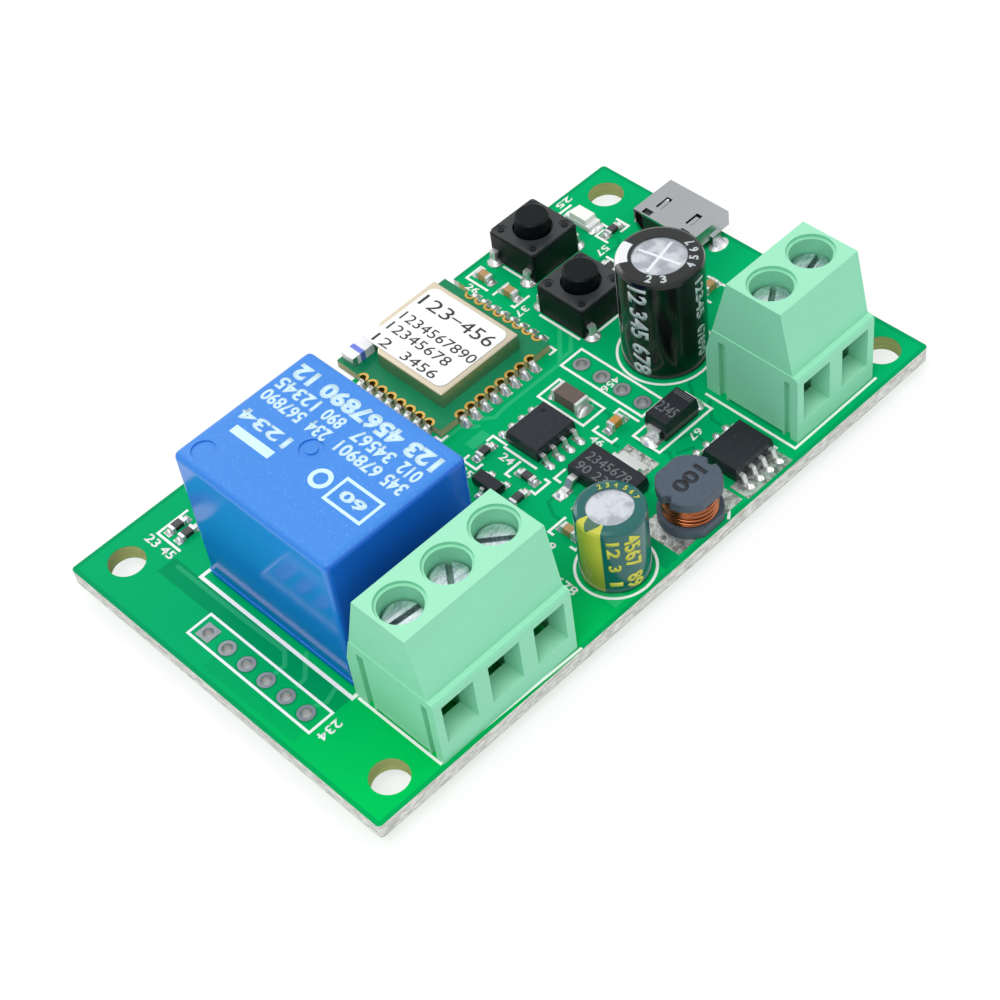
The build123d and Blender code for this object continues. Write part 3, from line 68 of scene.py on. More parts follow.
# The board's near left corner and its top face, seen from the frame's origin
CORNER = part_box("circuit_board")[0] / MM
BOARD_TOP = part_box("circuit_board")[1].z / MM
BOARD_BOTTOM = CORNER.z
BOARD_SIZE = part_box("circuit_board")[1] / MM - CORNER


def colour(name, what, value):
    return FloatVectorProperty(name=name, description=what, subtype="COLOR", size=3, min=0, max=1,
                               default=value)


def length(name, what, value):
    return FloatProperty(name=name, description=what, subtype="DISTANCE", unit="LENGTH", default=value)


def turn_setting(name, what, value):
    return FloatProperty(name=name, description=what, unit="ROTATION", default=radians(value))


def level(name, what, value, subtype="NONE"):
    return FloatProperty(name=name, description=what, subtype=subtype, default=value)


class RELAYBOARD_PG_colours(bpy.types.PropertyGroup):
    """Colours of the board and its components"""

    mask: colour("Solder mask", "Green over the copper pours", (0.0, 0.385, 0.128))
    mask_bare: colour("Bare mask", "Darker green where there is no copper below", (0.0, 0.22, 0.085))
    # Painted light: the mask's brighter, warmer green towards the near left corner
    mask_lit_front: colour("Front mask", "Warmer green towards the near left corner", (0.0, 0.50, 0.095))
    laminate: colour("Laminate", "Sawn edge of the board", (0.60, 0.60, 0.57))
    hole_wall: colour("Hole wall", "Unplated drilled wall", (0.44, 0.47, 0.20))
    print_white: colour("Board print", "White ink on the board", (0.86, 0.88, 0.86))
    relay_top: colour("Relay top", "Grained top of the relay case", (0.050, 0.250, 0.72))
    relay_side: colour("Relay side", "Polished sides of the relay case", (0.004, 0.112, 0.56))
    terminal: colour("Terminal block", "Moulded terminal housings", (0.235, 0.645, 0.425))
    tin: colour("Tin", "Tinned pads and solder", (0.60, 0.61, 0.61))
    gold: colour("Gold", "Plated module pads", (0.60, 0.38, 0.10))
    sleeve_black: colour("Large sleeve", "Sleeve of the large capacitor", (0.0015, 0.0025, 0.003))
    sleeve_teal: colour("Small sleeve", "Sleeve of the small capacitor", (0.005, 0.105, 0.10))
    stripe_yellow: colour("Yellow stripe", "Stripe on the small capacitor", (0.55, 0.54, 0.06))
    switch: colour("Switch", "Switch base and button", (0.002, 0.0045, 0.005))
    switch_cover: colour("Switch cover", "Cover plate of the switch", (0.030, 0.034, 0.037))
    epoxy: colour("Package", "Moulded chip packages", (0.010, 0.013, 0.018))
    ferrite: colour("Ferrite", "Core of the inductor", (0.060, 0.083, 0.115))
    copper: colour("Copper wire", "Enamelled winding wire", (0.29, 0.078, 0.020))
    label: colour("Label", "Paper label on the shield", (0.84, 0.85, 0.85))
    floor: colour("Floor", "Stage floor", (0.95, 0.95, 0.95))


class RELAYBOARD_PG_sizes(bpy.types.PropertyGroup):
    """Sizes of the print, solder and wire"""

    print_line: length("Print line", "Width of a printed line", 0.25 * MM)
    print_height: length("Print thickness", "Height of the ink over the mask", 0.025 * MM)
    wire: length("Winding wire", "Thickness of the inductor's wire", 0.26 * MM)
    solder_blob: length("Solder blob", "Height of a solder blob at a lead", 0.42 * MM)


class RELAYBOARD_PG_stage(bpy.types.PropertyGroup):
    """Camera and light of the stage"""

    azimuth: turn_setting("Azimuth", "Camera angle round the board", 35.897)
    elevation: turn_setting("Elevation", "Camera angle above the floor", 50.090)
    roll: turn_setting("Roll", "Turn about the viewing line", -10.726)
    distance: length("Distance", "From the camera to its target", 183.225 * MM)
    lens: level("Lens", "Focal length in mm", 77.42)
    key_power: level("Key light", "Power of the large soft light", 0.62, "POWER")
    world_strength: level("World", "Strength of the even light", 0.62)
    floor_size: length("Floor size", "Side of the stage floor", 2.4)


# Shader maths
class Value:
    """One shader socket. Its operators add Math nodes."""

    def __init__(self, shader, socket):
        self.shader = shader
        self.socket = socket

    def math(self, operation, *others):
        return self.shader.maths(operation, self, *others)

    def __add__(self, other):
        return self.math("ADD", other)

    def __radd__(self, other):
        return self.shader.maths("ADD", other, self)

    def __sub__(self, other):
        return self.math("SUBTRACT", other)

    def __rsub__(self, other):
        return self.shader.maths("SUBTRACT", other, self)

    def __mul__(self, other):
        return self.math("MULTIPLY", other)

    def __truediv__(self, other):
        return self.math("DIVIDE", other)

    def __abs__(self):
        return self.math("ABSOLUTE")


class Shader:
    """A node material built from Python expressions."""

    def __init__(self, name, metallic=0.0, coat=0.0, specular=0.5):
        self.material = bpy.data.materials.new(name)
        self.material.use_nodes = True
        self.tree = self.material.node_tree
        self.surface = self.tree.nodes["Principled BSDF"]
        for socket, value in (("Metallic", metallic), ("Coat Weight", coat), ("Coat Roughness", 0.1),
                              ("Specular IOR Level", specular)):
            self.surface.inputs[socket].default_value = value
        self.point = self.node("ShaderNodeTexCoord").outputs["Object"]

    def node(self, kind, settings=None, inputs=None):
        made = self.tree.nodes.new(kind)
        for name, value in (settings or {}).items():
            setattr(made, name, value)
        for name, value in (inputs or {}).items():
            self.feed(made.inputs[name], value)
        return made

    def feed(self, socket, value):
        if isinstance(value, Value):
            value = value.socket
        if isinstance(value, bpy.types.NodeSocket):
            self.tree.links.new(value, socket)
        elif socket.type == "RGBA" and len(value) == 3:
            socket.default_value = (*value, 1.0)
        else:
            socket.default_value = value

    def maths(self, operation, *values):
        made = self.node("ShaderNodeMath", {"operation": operation}, dict(enumerate(values)))
        return Value(self, made.outputs[0])

    def axes(self):
        parts = self.node("ShaderNodeSeparateXYZ", None, {0: self.point}).outputs
        return [Value(self, part) * 1000.0 for part in parts]

    def noise(self, scale, detail=3.0, roughness=0.5, stretch=(1, 1, 1), distortion=0.0):
        place = self.node("ShaderNodeMapping", None, {"Vector": self.point, "Scale": stretch}).outputs[0]
        made = self.node("ShaderNodeTexNoise", None, {"Vector": place, "Scale": scale, "Detail": detail,
                                                      "Roughness": roughness, "Distortion": distortion})
        return Value(self, made.outputs["Fac"])

    def cells(self, scale):
        made = self.node("ShaderNodeTexVoronoi", None, {"Vector": self.point, "Scale": scale})
        return Value(self, made.outputs["Distance"])

    def steps(self, value, low, high):
        made = self.node("ShaderNodeMapRange", {"interpolation_type": "SMOOTHSTEP"},
                         {"Value": value, "From Min": low, "From Max": high})
        return Value(self, made.outputs[0])

    def mix(self, factor, first, second):
        made = self.node("ShaderNodeMix", {"data_type": "RGBA"}, {0: factor, 6: first, 7: second})
        return made.outputs[2]

    def tint(self, base, amount, factor):
        darker = [channel * (1 - amount) for channel in base]
        lighter = [min(1.0, channel * (1 + amount)) for channel in base]
        return self.mix(factor, darker, lighter)

    def facing(self, side):
        # How squarely the surface faces up or left
        normal = self.node("ShaderNodeNewGeometry").outputs["Normal"]
        parts = self.node("ShaderNodeSeparateXYZ", None, {0: normal}).outputs
        return Value(self, parts[2]) if side == "up" else Value(self, parts[0]) * -1.0

    def bump(self, height, strength, distance):
        inputs = {"Height": height, "Strength": strength, "Distance": distance * MM}
        made = self.node("ShaderNodeBump", None, inputs)
        self.feed(self.surface.inputs["Normal"], made.outputs[0])

    def set(self, **values):
        for name, value in values.items():
            self.feed(self.surface.inputs[name.replace("_", " ").title()], value)
        return self


def colours():
    return bpy.context.scene.relay_board_colours


def sizes():
    return bpy.context.scene.relay_board_sizes


def stage():
    return bpy.context.scene.relay_board_stage


def over_board(node):
    # How far a piece's top stands over the board, in millimetres
    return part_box(node)[1].z / MM - BOARD_TOP


def paint(shader, *nodes):
    for name in nodes:
        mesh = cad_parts[name].data
        mesh.materials.clear()
        mesh.materials.append(shader.material)


# Finishes
# How far the edge of a painted shape fades, in millimetres
SOFT_EDGE = 0.03


def rectangle(x, y, x0, x1, y0, y1, soft=SOFT_EDGE):
    # 1 inside the rectangle, in board millimetres from the board's corner
    half_x, half_y = (x1 - x0) / 2, (y1 - y0) / 2
    across = abs(x - (x0 + half_x)) - half_x
    along = abs(y - (y0 + half_y)) - half_y
    reach = across.math("MAXIMUM", along)
    return x.shader.steps(reach, soft, -soft)


def within_board(x, y, margin, soft):
    # 1 further than the margin from the board's edges
    return rectangle(x, y, margin, BOARD_SIZE.x - margin, margin, BOARD_SIZE.y - margin, soft)


def line(x, y, x0, y0, x1, y1, width):
    # 1 inside a straight track with round ends
    run = hypot(x1 - x0, y1 - y0)
    ux, uy = (x1 - x0) / run, (y1 - y0) / run
    px, py = x - x0, y - y0
    along = (px * ux + py * uy).math("MAXIMUM", 0.0).math("MINIMUM", run)
    dx, dy = px - along * ux, py - along * uy
    reach = (dx * dx + dy * dy).math("SQRT") - width / 2
    return x.shader.steps(reach, SOFT_EDGE, -SOFT_EDGE)


def union(masks):
    total = masks[0]
    for mask in masks[1:]:
        total = total.math("MAXIMUM", mask)
    return total


# Bare gaps between the copper pours, seen darker through the mask: x0, x1, y0, y1
DARK_FIELDS = ((4.95, 6.95, 10.9, 34.1), (23.4, 24.2, 11.0, 31.5), (26.8, 27.6, 24.4, 33.0),
               (33.6, 35.4, 0.5, 6.5))
# Copper areas that stand out lighter
LIGHT_FIELDS = ((32.7, 34.9, 22.9, 24.0), (27.9, 29.4, 0.9, 3.4))
# Tracks that show lighter: runs of points
TRACKS = (
    ((6.46, 33.1), (6.49, 23.6), (6.6, 18.9), (5.55, 17.7), (4.5, 17.7)),
    ((7.6, 17.3), (5.8, 15.4), (4.9, 15.25)),
    ((4.4, 12.7), (5.4, 12.2), (7.1, 12.8)),
    ((48.6, 27.6), (45.3, 24.35), (38.2, 24.4), (36.7, 24.2), (35.2, 25.6)),
    ((49.0, 26.5), (47.1, 24.7), (45.6, 24.7)),
    ((29.2, 25.8), (33.8, 25.8), (35.0, 24.6)),
)
# Narrow gaps that show darker: runs of points
DARK_LINES = (
    ((43.5, 18.0), (43.6, 16.5), (41.2, 14.2), (41.2, 13.2)),
    ((48.9, 8.0), (48.9, 9.0), (50.4, 10.6)),
    ((46.5, 8.0), (46.5, 9.3), (45.4, 9.6)),
    ((44.0, 8.6), (45.3, 8.0), (45.3, 7.6)),
    ((42.6, 7.8), (43.6, 9.2), (42.8, 10.4), (42.8, 12.4)),
    ((35.6, 13.4), (32.6, 13.4), (31.8, 12.0), (31.8, 10.8)),
    ((50.0, 12.2), (51.0, 13.6), (54.6, 13.6)),
    ((29.0, 20.8), (31.6, 20.8)),
    ((55.3, 33.0), (57.0, 31.0), (60.2, 31.0), (60.9, 31.6)),
)
# A faint darker field beside the six header holes
SOFT_FIELD = (0.9, 4.9, 11.2, 23.0)
# Width of the mask's darker border, and how far in the sawn laminate's look reaches
EDGE_MARGIN = 0.42
SAWN_DEPTH = 0.7
# Header holes: x, y of the first hole, and how many run on towards the front
HEADERS = ((3.52, 25.35, 6), (46.5, 22.75, 4))
HEADER_PITCH = 2.54
PAD_RADIUS = 0.82


def track_masks(x, y, runs, width):
    masks = []
    for run in runs:
        masks += [line(x, y, *a, *b, width) for a, b in zip(run, run[1:])]
    return union(masks)


def header_rings(x, y):
    # The distance from the nearest header hole
    reaches = []
    for hole_x, hole_y, count in HEADERS:
        last = hole_y - HEADER_PITCH * (count - 1)
        step = ((y - last) / HEADER_PITCH).math("ROUND").math("MAXIMUM", 0.0).math("MINIMUM", count - 1.0)
        dx, dy = x - hole_x, y - last - step * HEADER_PITCH
        reaches.append((dx * dx + dy * dy).math("SQRT"))
    return reaches[0].math("MINIMUM", reaches[1])


def board_finish():
    c = colours()
    s = Shader("board_solder_mask", specular=0.02)
    x, y, z = s.axes()
    x, y = x - CORNER.x, y - CORNER.y
    from_hole = header_rings(x, y)
    ring = s.steps(from_hole, PAD_RADIUS + 0.17, PAD_RADIUS + 0.12)
    dark = union([rectangle(x, y, *field, soft=0.06) for field in DARK_FIELDS])
    dark = dark.math("MAXIMUM", track_masks(x, y, DARK_LINES, 0.34)).math("MAXIMUM", ring)
    light = track_masks(x, y, TRACKS, 0.42)
    light = light.math("MAXIMUM", union([rectangle(x, y, *field, soft=0.05) for field in LIGHT_FIELDS]))
    cloud = s.noise(60.0, 4.0)
    # Painted light: the mask turns a brighter, warmer green towards the near left corner
    near = s.steps(y + x * 0.45, 30.0, 2.0)
    green = s.mix(near, s.tint(c.mask, 0.08, cloud), s.tint(c.mask_lit_front, 0.08, cloud))
    patch = rectangle(x, y, *SOFT_FIELD, soft=0.12)
    green = s.mix(patch * 0.22, green, c.mask_bare)
    green = s.mix(dark * 0.62, green, c.mask_bare)
    green = s.mix(light * 0.26, green, (0.08, 0.62, 0.30))
    rim = within_board(x, y, EDGE_MARGIN, 0.06)
    green = s.mix((1 - rim) * 0.45, green, c.mask_bare)
    middle = (BOARD_TOP + BOARD_BOTTOM) / 2
    half = (BOARD_TOP - BOARD_BOTTOM) / 2
    side = s.steps(abs(z - middle), half - 0.03, half - 0.05)
    inside = within_board(x, y, SAWN_DEPTH, 0.1)
    fibres = s.noise(900.0, 4.0, 0.7, (1, 1, 4))
    bands = s.noise(1400.0, 2.0, 0.5, (0.3, 0.3, 3))
    dull, pale = [v * 0.74 for v in c.laminate], [min(1, v * 1.25) for v in c.laminate]
    sawn = s.mix(s.steps(fibres, 0.35, 0.65), dull, pale)
    plated = s.steps(from_hole, PAD_RADIUS, PAD_RADIUS - 0.1) * side
    edge = s.mix(inside, sawn, s.tint(c.hole_wall, 0.25, bands))
    edge = s.mix(plated, edge, c.tin)
    dullness = 0.36 + side * 0.40 - plated * 0.44
    s.set(base_color=s.mix(side, green, edge), roughness=dullness, metallic=plated)
    relief = light * 0.35 - dark * 0.35 + cloud * 0.04
    s.bump(relief * (1 - side) + fibres * side * 1.4, 0.55, 0.035)
    return s


def metal_finish(name, base, roughness, streak=(1, 1, 1), grain=900.0, depth=0.25, spread=0.12):
    s = Shader(name, metallic=1.0)
    scratch = s.noise(grain, 4.0, 0.6, streak)
    # Blotches of lighter and darker metal: the metal's own tone, and on the USB shell partly painted
    # reflection
    blotch_and_reflection = s.noise(grain / 6, 2.0)
    s.set(base_color=s.tint(base, spread, blotch_and_reflection), roughness=roughness + scratch * 0.22 - 0.08)
    s.bump(scratch + blotch_and_reflection * 0.5, depth, 0.02)
    return s


def solder_finish():
    s = Shader("bright_solder", metallic=0.72)
    lumps = s.noise(700.0, 2.0, 0.5)
    frost = s.noise(3200.0, 2.0)
    s.set(base_color=s.tint((0.66, 0.67, 0.67), 0.14, lumps), roughness=0.24 + frost * 0.12)
    s.bump(lumps, 0.22, 0.05)
    return s


def pad_finish():
    # Dull tinned rings of the header holes
    s = Shader("header_pad_tin", metallic=0.8)
    lumps = s.noise(900.0, 3.0, 0.6)
    s.set(base_color=s.tint((0.25, 0.27, 0.285), 0.25, lumps), roughness=0.40 + lumps * 0.2)
    s.bump(lumps, 0.5, 0.05)
    return s


def tinned_pad_finish():
    # Large pads carry a thin, uneven layer of tin, bright and dull in small spots
    s = Shader("uneven_tin", metallic=0.8)
    spots = s.steps(s.noise(1500.0, 4.0, 0.7), 0.38, 0.62)
    broad = s.noise(300.0, 2.0)
    base = s.mix(spots, (0.20, 0.22, 0.20), (0.62, 0.65, 0.62))
    s.set(base_color=base, roughness=0.26 + broad * 0.2)
    s.bump(spots + broad * 0.6, 0.5, 0.04)
    return s


def plastic_finish(name, base, roughness, grain=2200.0, depth=0.16, mottle=0.05, specular=0.5):
    s = Shader(name, specular=specular)
    fine = s.noise(grain, 3.0, 0.6)
    broad = s.noise(grain / 25, 3.0)
    s.set(base_color=s.tint(base, mottle, broad), roughness=roughness + fine * 0.10 - 0.05)
    s.bump(fine, depth, 0.03)
    return s


def relay_finish():
    # The top face is finely grained and paler, the sides are polished and deeper towards the board
    c = colours()
    s = Shader("relay_case_blue", specular=0.34)
    up = s.steps(s.facing("up"), 0.5, 0.9)
    z = s.axes()[2]
    grain = s.noise(2600.0, 3.0, 0.6)
    sparkle = s.steps(s.noise(5200.0, 2.0), 0.62, 0.72)
    top = s.mix(s.noise(60.0, 2.0) * 0.5 + grain * 0.4, (0.026, 0.190, 0.63), c.relay_top)
    top = s.mix(sparkle * 0.22, top, (0.35, 0.55, 0.95))
    fade = s.steps(z, BOARD_TOP, BOARD_TOP + 15.0)
    side = s.mix(fade, (0.002, 0.073, 0.45), c.relay_side)
    left = s.steps(s.facing("left"), 0.5, 0.9)
    side = s.mix(left, side, s.mix(fade, (0.001, 0.122, 0.50), (0.018, 0.212, 0.68)))
    s.set(base_color=s.mix(up, side, top), roughness=0.12 + up * 0.34)
    s.bump(grain * up + s.noise(45.0, 2.0) * 0.6, 0.25, 0.03)
    return s


def terminal_finish():
    c = colours()
    s = Shader("terminal_green", specular=0.32)
    fine = s.noise(1500.0, 3.0, 0.6)
    flow = s.noise(70.0, 3.0, 0.5, (1, 1, 2.5), 0.6)
    flecks = s.steps(s.cells(260.0), 0.06, 0.03)
    # Painted light: the faces that look up get a lighter green
    up = s.steps(s.facing("up"), 0.88, 0.98)
    base = s.mix(up, s.tint(c.terminal, 0.05, flow), s.tint((0.300, 0.705, 0.475), 0.05, flow))
    base = s.mix(flecks * 0.08, base, (0.12, 0.42, 0.25))
    s.set(base_color=base, roughness=0.38 + fine * 0.12 - flow * 0.05)
    s.bump(fine * 0.5 + flow, 0.22, 0.05)
    return s


def screw_finish():
    # Bright zinc with fine marks, with painted shade down in the slot
    s = Shader("zinc_screw", metallic=0.85)
    rays = s.noise(420.0, 4.0, 0.7, (1.0, 3.2, 1.0), 1.2)
    cross = s.noise(900.0, 3.0, 0.6, (4.0, 1.0, 1.0))
    z = s.axes()[2]
    head_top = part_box("terminal_3_screw_1")[1].z / MM
    # Painted shade: darker zinc down in the slot below the head's top
    painted_slot_shade = s.steps(z, head_top - 0.05, head_top - 0.3)
    bright = s.mix(s.steps(rays, 0.38, 0.62), (0.36, 0.45, 0.49), (0.70, 0.78, 0.80))
    s.set(base_color=s.mix(painted_slot_shade * 0.6, bright, (0.10, 0.15, 0.15)), roughness=0.16 + cross * 0.24)
    s.bump(rays + cross * 0.6, 0.45, 0.05)
    return s


def turn_about(s, centre_x, centre_y, start):
    # Round an upright line: the angle in degrees from start, the height over the board, and the reach
    x, y, z = s.axes()
    dx, dy = x - centre_x, y - centre_y
    angle = s.maths("ARCTAN2", dy, dx) * degrees(1)
    return (angle - start + 720.0).math("MODULO", 360.0), z - BOARD_TOP, (dx * dx + dy * dy).math("SQRT")


def band(s, value, low, high, soft):
    return s.steps(value, low - soft, low + soft) * s.steps(value, high + soft, high - soft)


def sleeve_finish(name, base, node, stripe, stripe_at, stripe_wide, triangle_ink=0.0):
    # A shrunk sleeve with a polarity stripe, and a triangle at its top where triangle_ink isn't 0
    centre, radius = [measure / MM for measure in upright(node)[:2]]
    tall = over_board(node)
    s = Shader(name, coat=0.3, specular=0.32)
    angle, height, reach = turn_about(s, centre.x, centre.y, stripe_at)
    edge = 60.0 / radius * 0.05
    bar = band(s, angle, 0.0, stripe_wide, edge)
    side = s.steps(reach, radius - 1.2, radius - 1.15)
    # Painted shade: the stripe darkens towards its foot
    stripe_shaded_low = s.mix(s.steps(height, 0.5, tall - 1.5), [v * 0.55 for v in stripe], stripe)
    colour_now = s.mix(bar * side, base, stripe_shaded_low)
    # One triangle points down from the top of the stripe
    inward = (height - tall) - (reach - radius)
    half_turn = abs(angle - stripe_wide / 2) - (inward + 0.35) * (stripe_wide * 0.28)
    triangle = s.steps(half_turn, 1.0, -1.0) * s.steps(inward, -0.4, -0.3)
    colour_now = s.mix(triangle * triangle_ink, colour_now, base)
    wrap = s.noise(130.0, 3.0, 0.5, (1, 1, 0.4))
    s.set(base_color=colour_now, roughness=0.15 + wrap * 0.12)
    s.bump(wrap, 0.35, 0.08)
    return s


def grained_finish(name, base, spread, roughness, change, depth, distance, specular, grain=(2600.0, 3.0)):
    # One fine noise varies the colour by spread and the roughness by change, and raises the surface
    s = Shader(name, specular=specular)
    fine = s.noise(*grain)
    s.set(base_color=s.tint(base, spread, fine), roughness=roughness + fine * change)
    s.bump(fine, depth, distance)
    return s


def chip_package_finish():
    s = Shader("moulded_package", specular=0.28)
    up = s.steps(s.facing("up"), 0.5, 0.9)
    fine = s.noise(3600.0, 4.0, 0.7)
    # Painted glints: light specks on the faces that look up
    sparkle = s.steps(s.noise(6500.0, 2.0), 0.66, 0.74)
    base = s.tint(colours().epoxy, 0.25, fine)
    s.set(base_color=s.mix(sparkle * up * 0.25, base, (0.16, 0.16, 0.17)), roughness=0.30 + up * 0.28)
    s.bump(fine * up, 0.35, 0.025)
    return s


def ferrite_finish():
    s = Shader("sintered_ferrite", specular=0.34)
    fine = s.noise(1800.0, 5.0, 0.7)
    pores = s.steps(s.cells(900.0), 0.18, 0.06)
    base = s.tint(colours().ferrite, 0.22, fine)
    s.set(base_color=s.mix(pores * 0.5, base, (0.03, 0.03, 0.035)), roughness=0.44 + fine * 0.2)
    s.bump(fine - pores * 0.6, 0.45, 0.04)
    return s


def radio_board_finish():
    s = Shader("module_solder_mask", specular=0.2)
    low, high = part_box("radio_board")
    cloud = s.noise(160.0, 3.0)
    side = s.steps(abs(s.axes()[2] - (low.z + high.z) / 2 / MM), 0.42, 0.40)
    green = s.tint((0.0, 0.20, 0.080), 0.2, cloud)
    s.set(base_color=s.mix(side, green, (0.42, 0.38, 0.22)), roughness=0.26 + side * 0.4)
    s.bump(cloud, 0.2, 0.03)
    return s


def can_finish():
    s = Shader("capacitor_can", metallic=1.0)
    fine = s.noise(1600.0, 4.0, 0.7)
    frost = s.steps(s.noise(700.0, 3.0), 0.4, 0.6)
    z = s.axes()[2]
    large_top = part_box("capacitor_large_can")[1].z / MM
    cross = s.steps(z, large_top - 0.02, large_top - 0.05) * s.steps(z, large_top - 0.3, large_top - 0.2)
    plain = s.mix(frost, (0.36, 0.39, 0.43), (0.56, 0.59, 0.63))
    s.set(base_color=s.mix(cross, plain, (0.80, 0.83, 0.86)), roughness=0.34 + fine * 0.2)
    s.bump(fine, 0.4, 0.03)
    return s


def lens_finish():
    # A clear domed lens on a white base
    s = Shader("led_resin", specular=0.6)
    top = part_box("indicator_led")[1].z / MM
    lens = s.steps(s.axes()[2], top - 0.58, top - 0.5)
    mottled = s.noise(1300.0, 2.0)
    base = s.mix(lens, (0.78, 0.80, 0.79), s.tint((0.84, 0.87, 0.82), 0.08, mottled))
    s.set(base_color=base, roughness=0.42 - lens * 0.26)
    s.bump(mottled, 0.15, 0.02)
    return s


def dress_nodes():
    c = colours()
    paint(board_finish(), "circuit_board")
    paint(pad_finish(), "plated_holes")
    paint(tinned_pad_finish(), "tinned_pads")
    paint(solder_finish(), "solder_joints", "chip_leads", "chip_end_caps",
          "terminal_3_pins", "terminal_2_pins", "capacitor_large_leads", "capacitor_small_leads",
          "relay_terminals", "switch_1_legs", "switch_2_legs")
    paint(relay_finish(), "relay_case")
    paint(plastic_finish("relay_base_plastic", (0.006, 0.05, 0.22), 0.4), "relay_base")
    paint(plastic_finish("bobbin_nylon", (0.72, 0.70, 0.60), 0.4), "relay_bobbin")
    iron = metal_finish("plated_iron", (0.55, 0.55, 0.54), 0.32)
    paint(iron, "relay_core", "relay_yoke", "relay_armature")
    paint(metal_finish("spring_bronze", (0.62, 0.42, 0.20), 0.25), "relay_contact_spring")
    coil = metal_finish("coil_wire", c.copper, 0.3, (1, 1, 8), 500.0, 0.6)
    paint(coil, "relay_winding", "inductor_winding")
    paint(terminal_finish(), "terminal_3_housing", "terminal_2_housing")
    paint(screw_finish(), *[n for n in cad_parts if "_screw_" in n])
    cage = metal_finish("zinc_cage", (0.52, 0.54, 0.55), 0.36)
    paint(cage, *[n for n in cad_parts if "_clamp_" in n])
    paint(plastic_finish("switch_nylon", c.switch, 0.42, 1800.0, 0.3, 0.2, specular=0.18),
          "switch_1_base", "switch_2_base")
    paint(plastic_finish("button_nylon", c.switch, 0.34, 1500.0, 0.3, 0.2, specular=0.12),
          "switch_1_button", "switch_2_button")
    paint(plastic_finish("cover_lacquer", c.switch_cover, 0.30, 2400.0, 0.35, 0.2, specular=0.32),
          "switch_1_cover", "switch_2_cover")
    paint(metal_finish("snap_disc_steel", (0.6, 0.6, 0.6), 0.25), "switch_1_dome", "switch_2_dome")
    white = (0.74, 0.75, 0.77)
    large, small = "capacitor_large_sleeve", "capacitor_small_sleeve"
    paint(sleeve_finish("sleeve_black", c.sleeve_black, large, white, 98.0, 46.0), large)
    paint(sleeve_finish("sleeve_teal", c.sleeve_teal, small, c.stripe_yellow, 158.0, 50.0, 0.9), small)
    paint(can_finish(), "capacitor_large_can", "capacitor_small_can")
    paint(plastic_finish("rubber_bung", (0.02, 0.02, 0.02), 0.6), "capacitor_seals")
    # The shell's wide spread of blotches is partly painted reflection, partly the nickel's own tone
    shell = metal_finish("nickel_shell", (0.40, 0.42, 0.435), 0.20, (1, 3, 1), 220.0, 0.16, 0.16)
    paint(shell, "usb_shell")
    shield = metal_finish("nickel_silver", (0.54, 0.48, 0.37), 0.34, (1, 1, 3), 200.0, 0.12, 0.22)
    paint(shield, "radio_shield")
    paint(plastic_finish("socket_tongue", (0.015, 0.015, 0.016), 0.4), "usb_tongue")
    gold = metal_finish("gold_plating", c.gold, 0.20, (1, 1, 1), 900.0, 0.25, 0.2)
    paint(gold, "usb_contacts", "radio_castellations")
    paint(radio_board_finish(), "radio_board")
    paper = grained_finish("paper_label", c.label, 0.03, 0.40, 0.1, 0.12, 0.02, 0.3, (1500.0, 4.0, 0.6))
    paint(paper, "radio_label")
    paint(antenna_finish(), "radio_antenna")
    paint(ferrite_finish(), "inductor_core")
    paint(chip_package_finish(), "chip_packages")
    glaze = grained_finish("resistor_glaze", (0.016, 0.016, 0.018), 0.16, 0.32, 0.2, 0.2, 0.02, 0.5)
    paint(glaze, "chip_resistors")
    paint(chip_capacitor_finish(), "chip_capacitors")
    paint(lens_finish(), "indicator_led")


def antenna_finish():
    # Tinned ends, a white ceramic body and one blue mark
    s = Shader("chip_antenna", specular=0.6)
    low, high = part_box("radio_antenna")
    x = s.axes()[0]
    ends = 1 - band(s, x, low.x / MM + 0.56, high.x / MM - 0.56, 0.02)
    fine = s.noise(1500.0, 2.0)
    mark = band(s, x, low.x / MM + 1.0, low.x / MM + 1.55, 0.05)
    body = s.mix(mark * 0.9, s.tint((0.78, 0.79, 0.80), 0.05, fine), (0.03, 0.10, 0.62))
    s.set(base_color=s.mix(ends, body, (0.66, 0.66, 0.66)), metallic=ends, roughness=0.24 + fine * 0.1)
    s.bump(fine, 0.2, 0.02)
    return s


# Where the large dark chip capacitor and the orange one stand: x0, x1, y0, y1
LARGE_CHIP = (41.0, 44.0, 17.5, 22.5)
ORANGE_CHIP = (41.5, 44.5, 14.0, 16.2)


def chip_capacitor_finish():
    # The large chip is a dark brown ceramic, one is orange, and the other small ones are tan
    s = Shader("chip_ceramic", specular=0.32)
    x, y = s.axes()[:2]
    fine = s.noise(2600.0, 3.0)
    big = rectangle(x - CORNER.x, y - CORNER.y, *LARGE_CHIP)
    orange = rectangle(x - CORNER.x, y - CORNER.y, *ORANGE_CHIP)
    base = s.mix(big, s.tint((0.42, 0.26, 0.11), 0.16, fine), s.tint((0.115, 0.082, 0.070), 0.16, fine))
    s.set(base_color=s.mix(orange, base, (0.55, 0.26, 0.06)), roughness=0.30 + fine * 0.2)
    s.bump(fine, 0.2, 0.02)
    return s


# Mesh tools
def fresh():
    if bpy.context.object and bpy.context.object.mode != "OBJECT":
        bpy.ops.object.mode_set(mode="OBJECT")
    bpy.ops.object.select_all(action="DESELECT")


def seat(obj):
    # Puts the object's place into its mesh, so its origin is the frame's origin
    fresh()
    obj.select_set(True)
    bpy.context.view_layer.objects.active = obj
    bpy.ops.object.transform_apply(location=True, rotation=True, scale=True)
    return obj


def whole_mesh(step, **settings):
    # Runs one step in edit mode on everything in the active mesh
    bpy.ops.object.mode_set(mode="EDIT")
    bpy.ops.mesh.select_all(action="SELECT")
    step(**settings)
    bpy.ops.object.mode_set(mode="OBJECT")


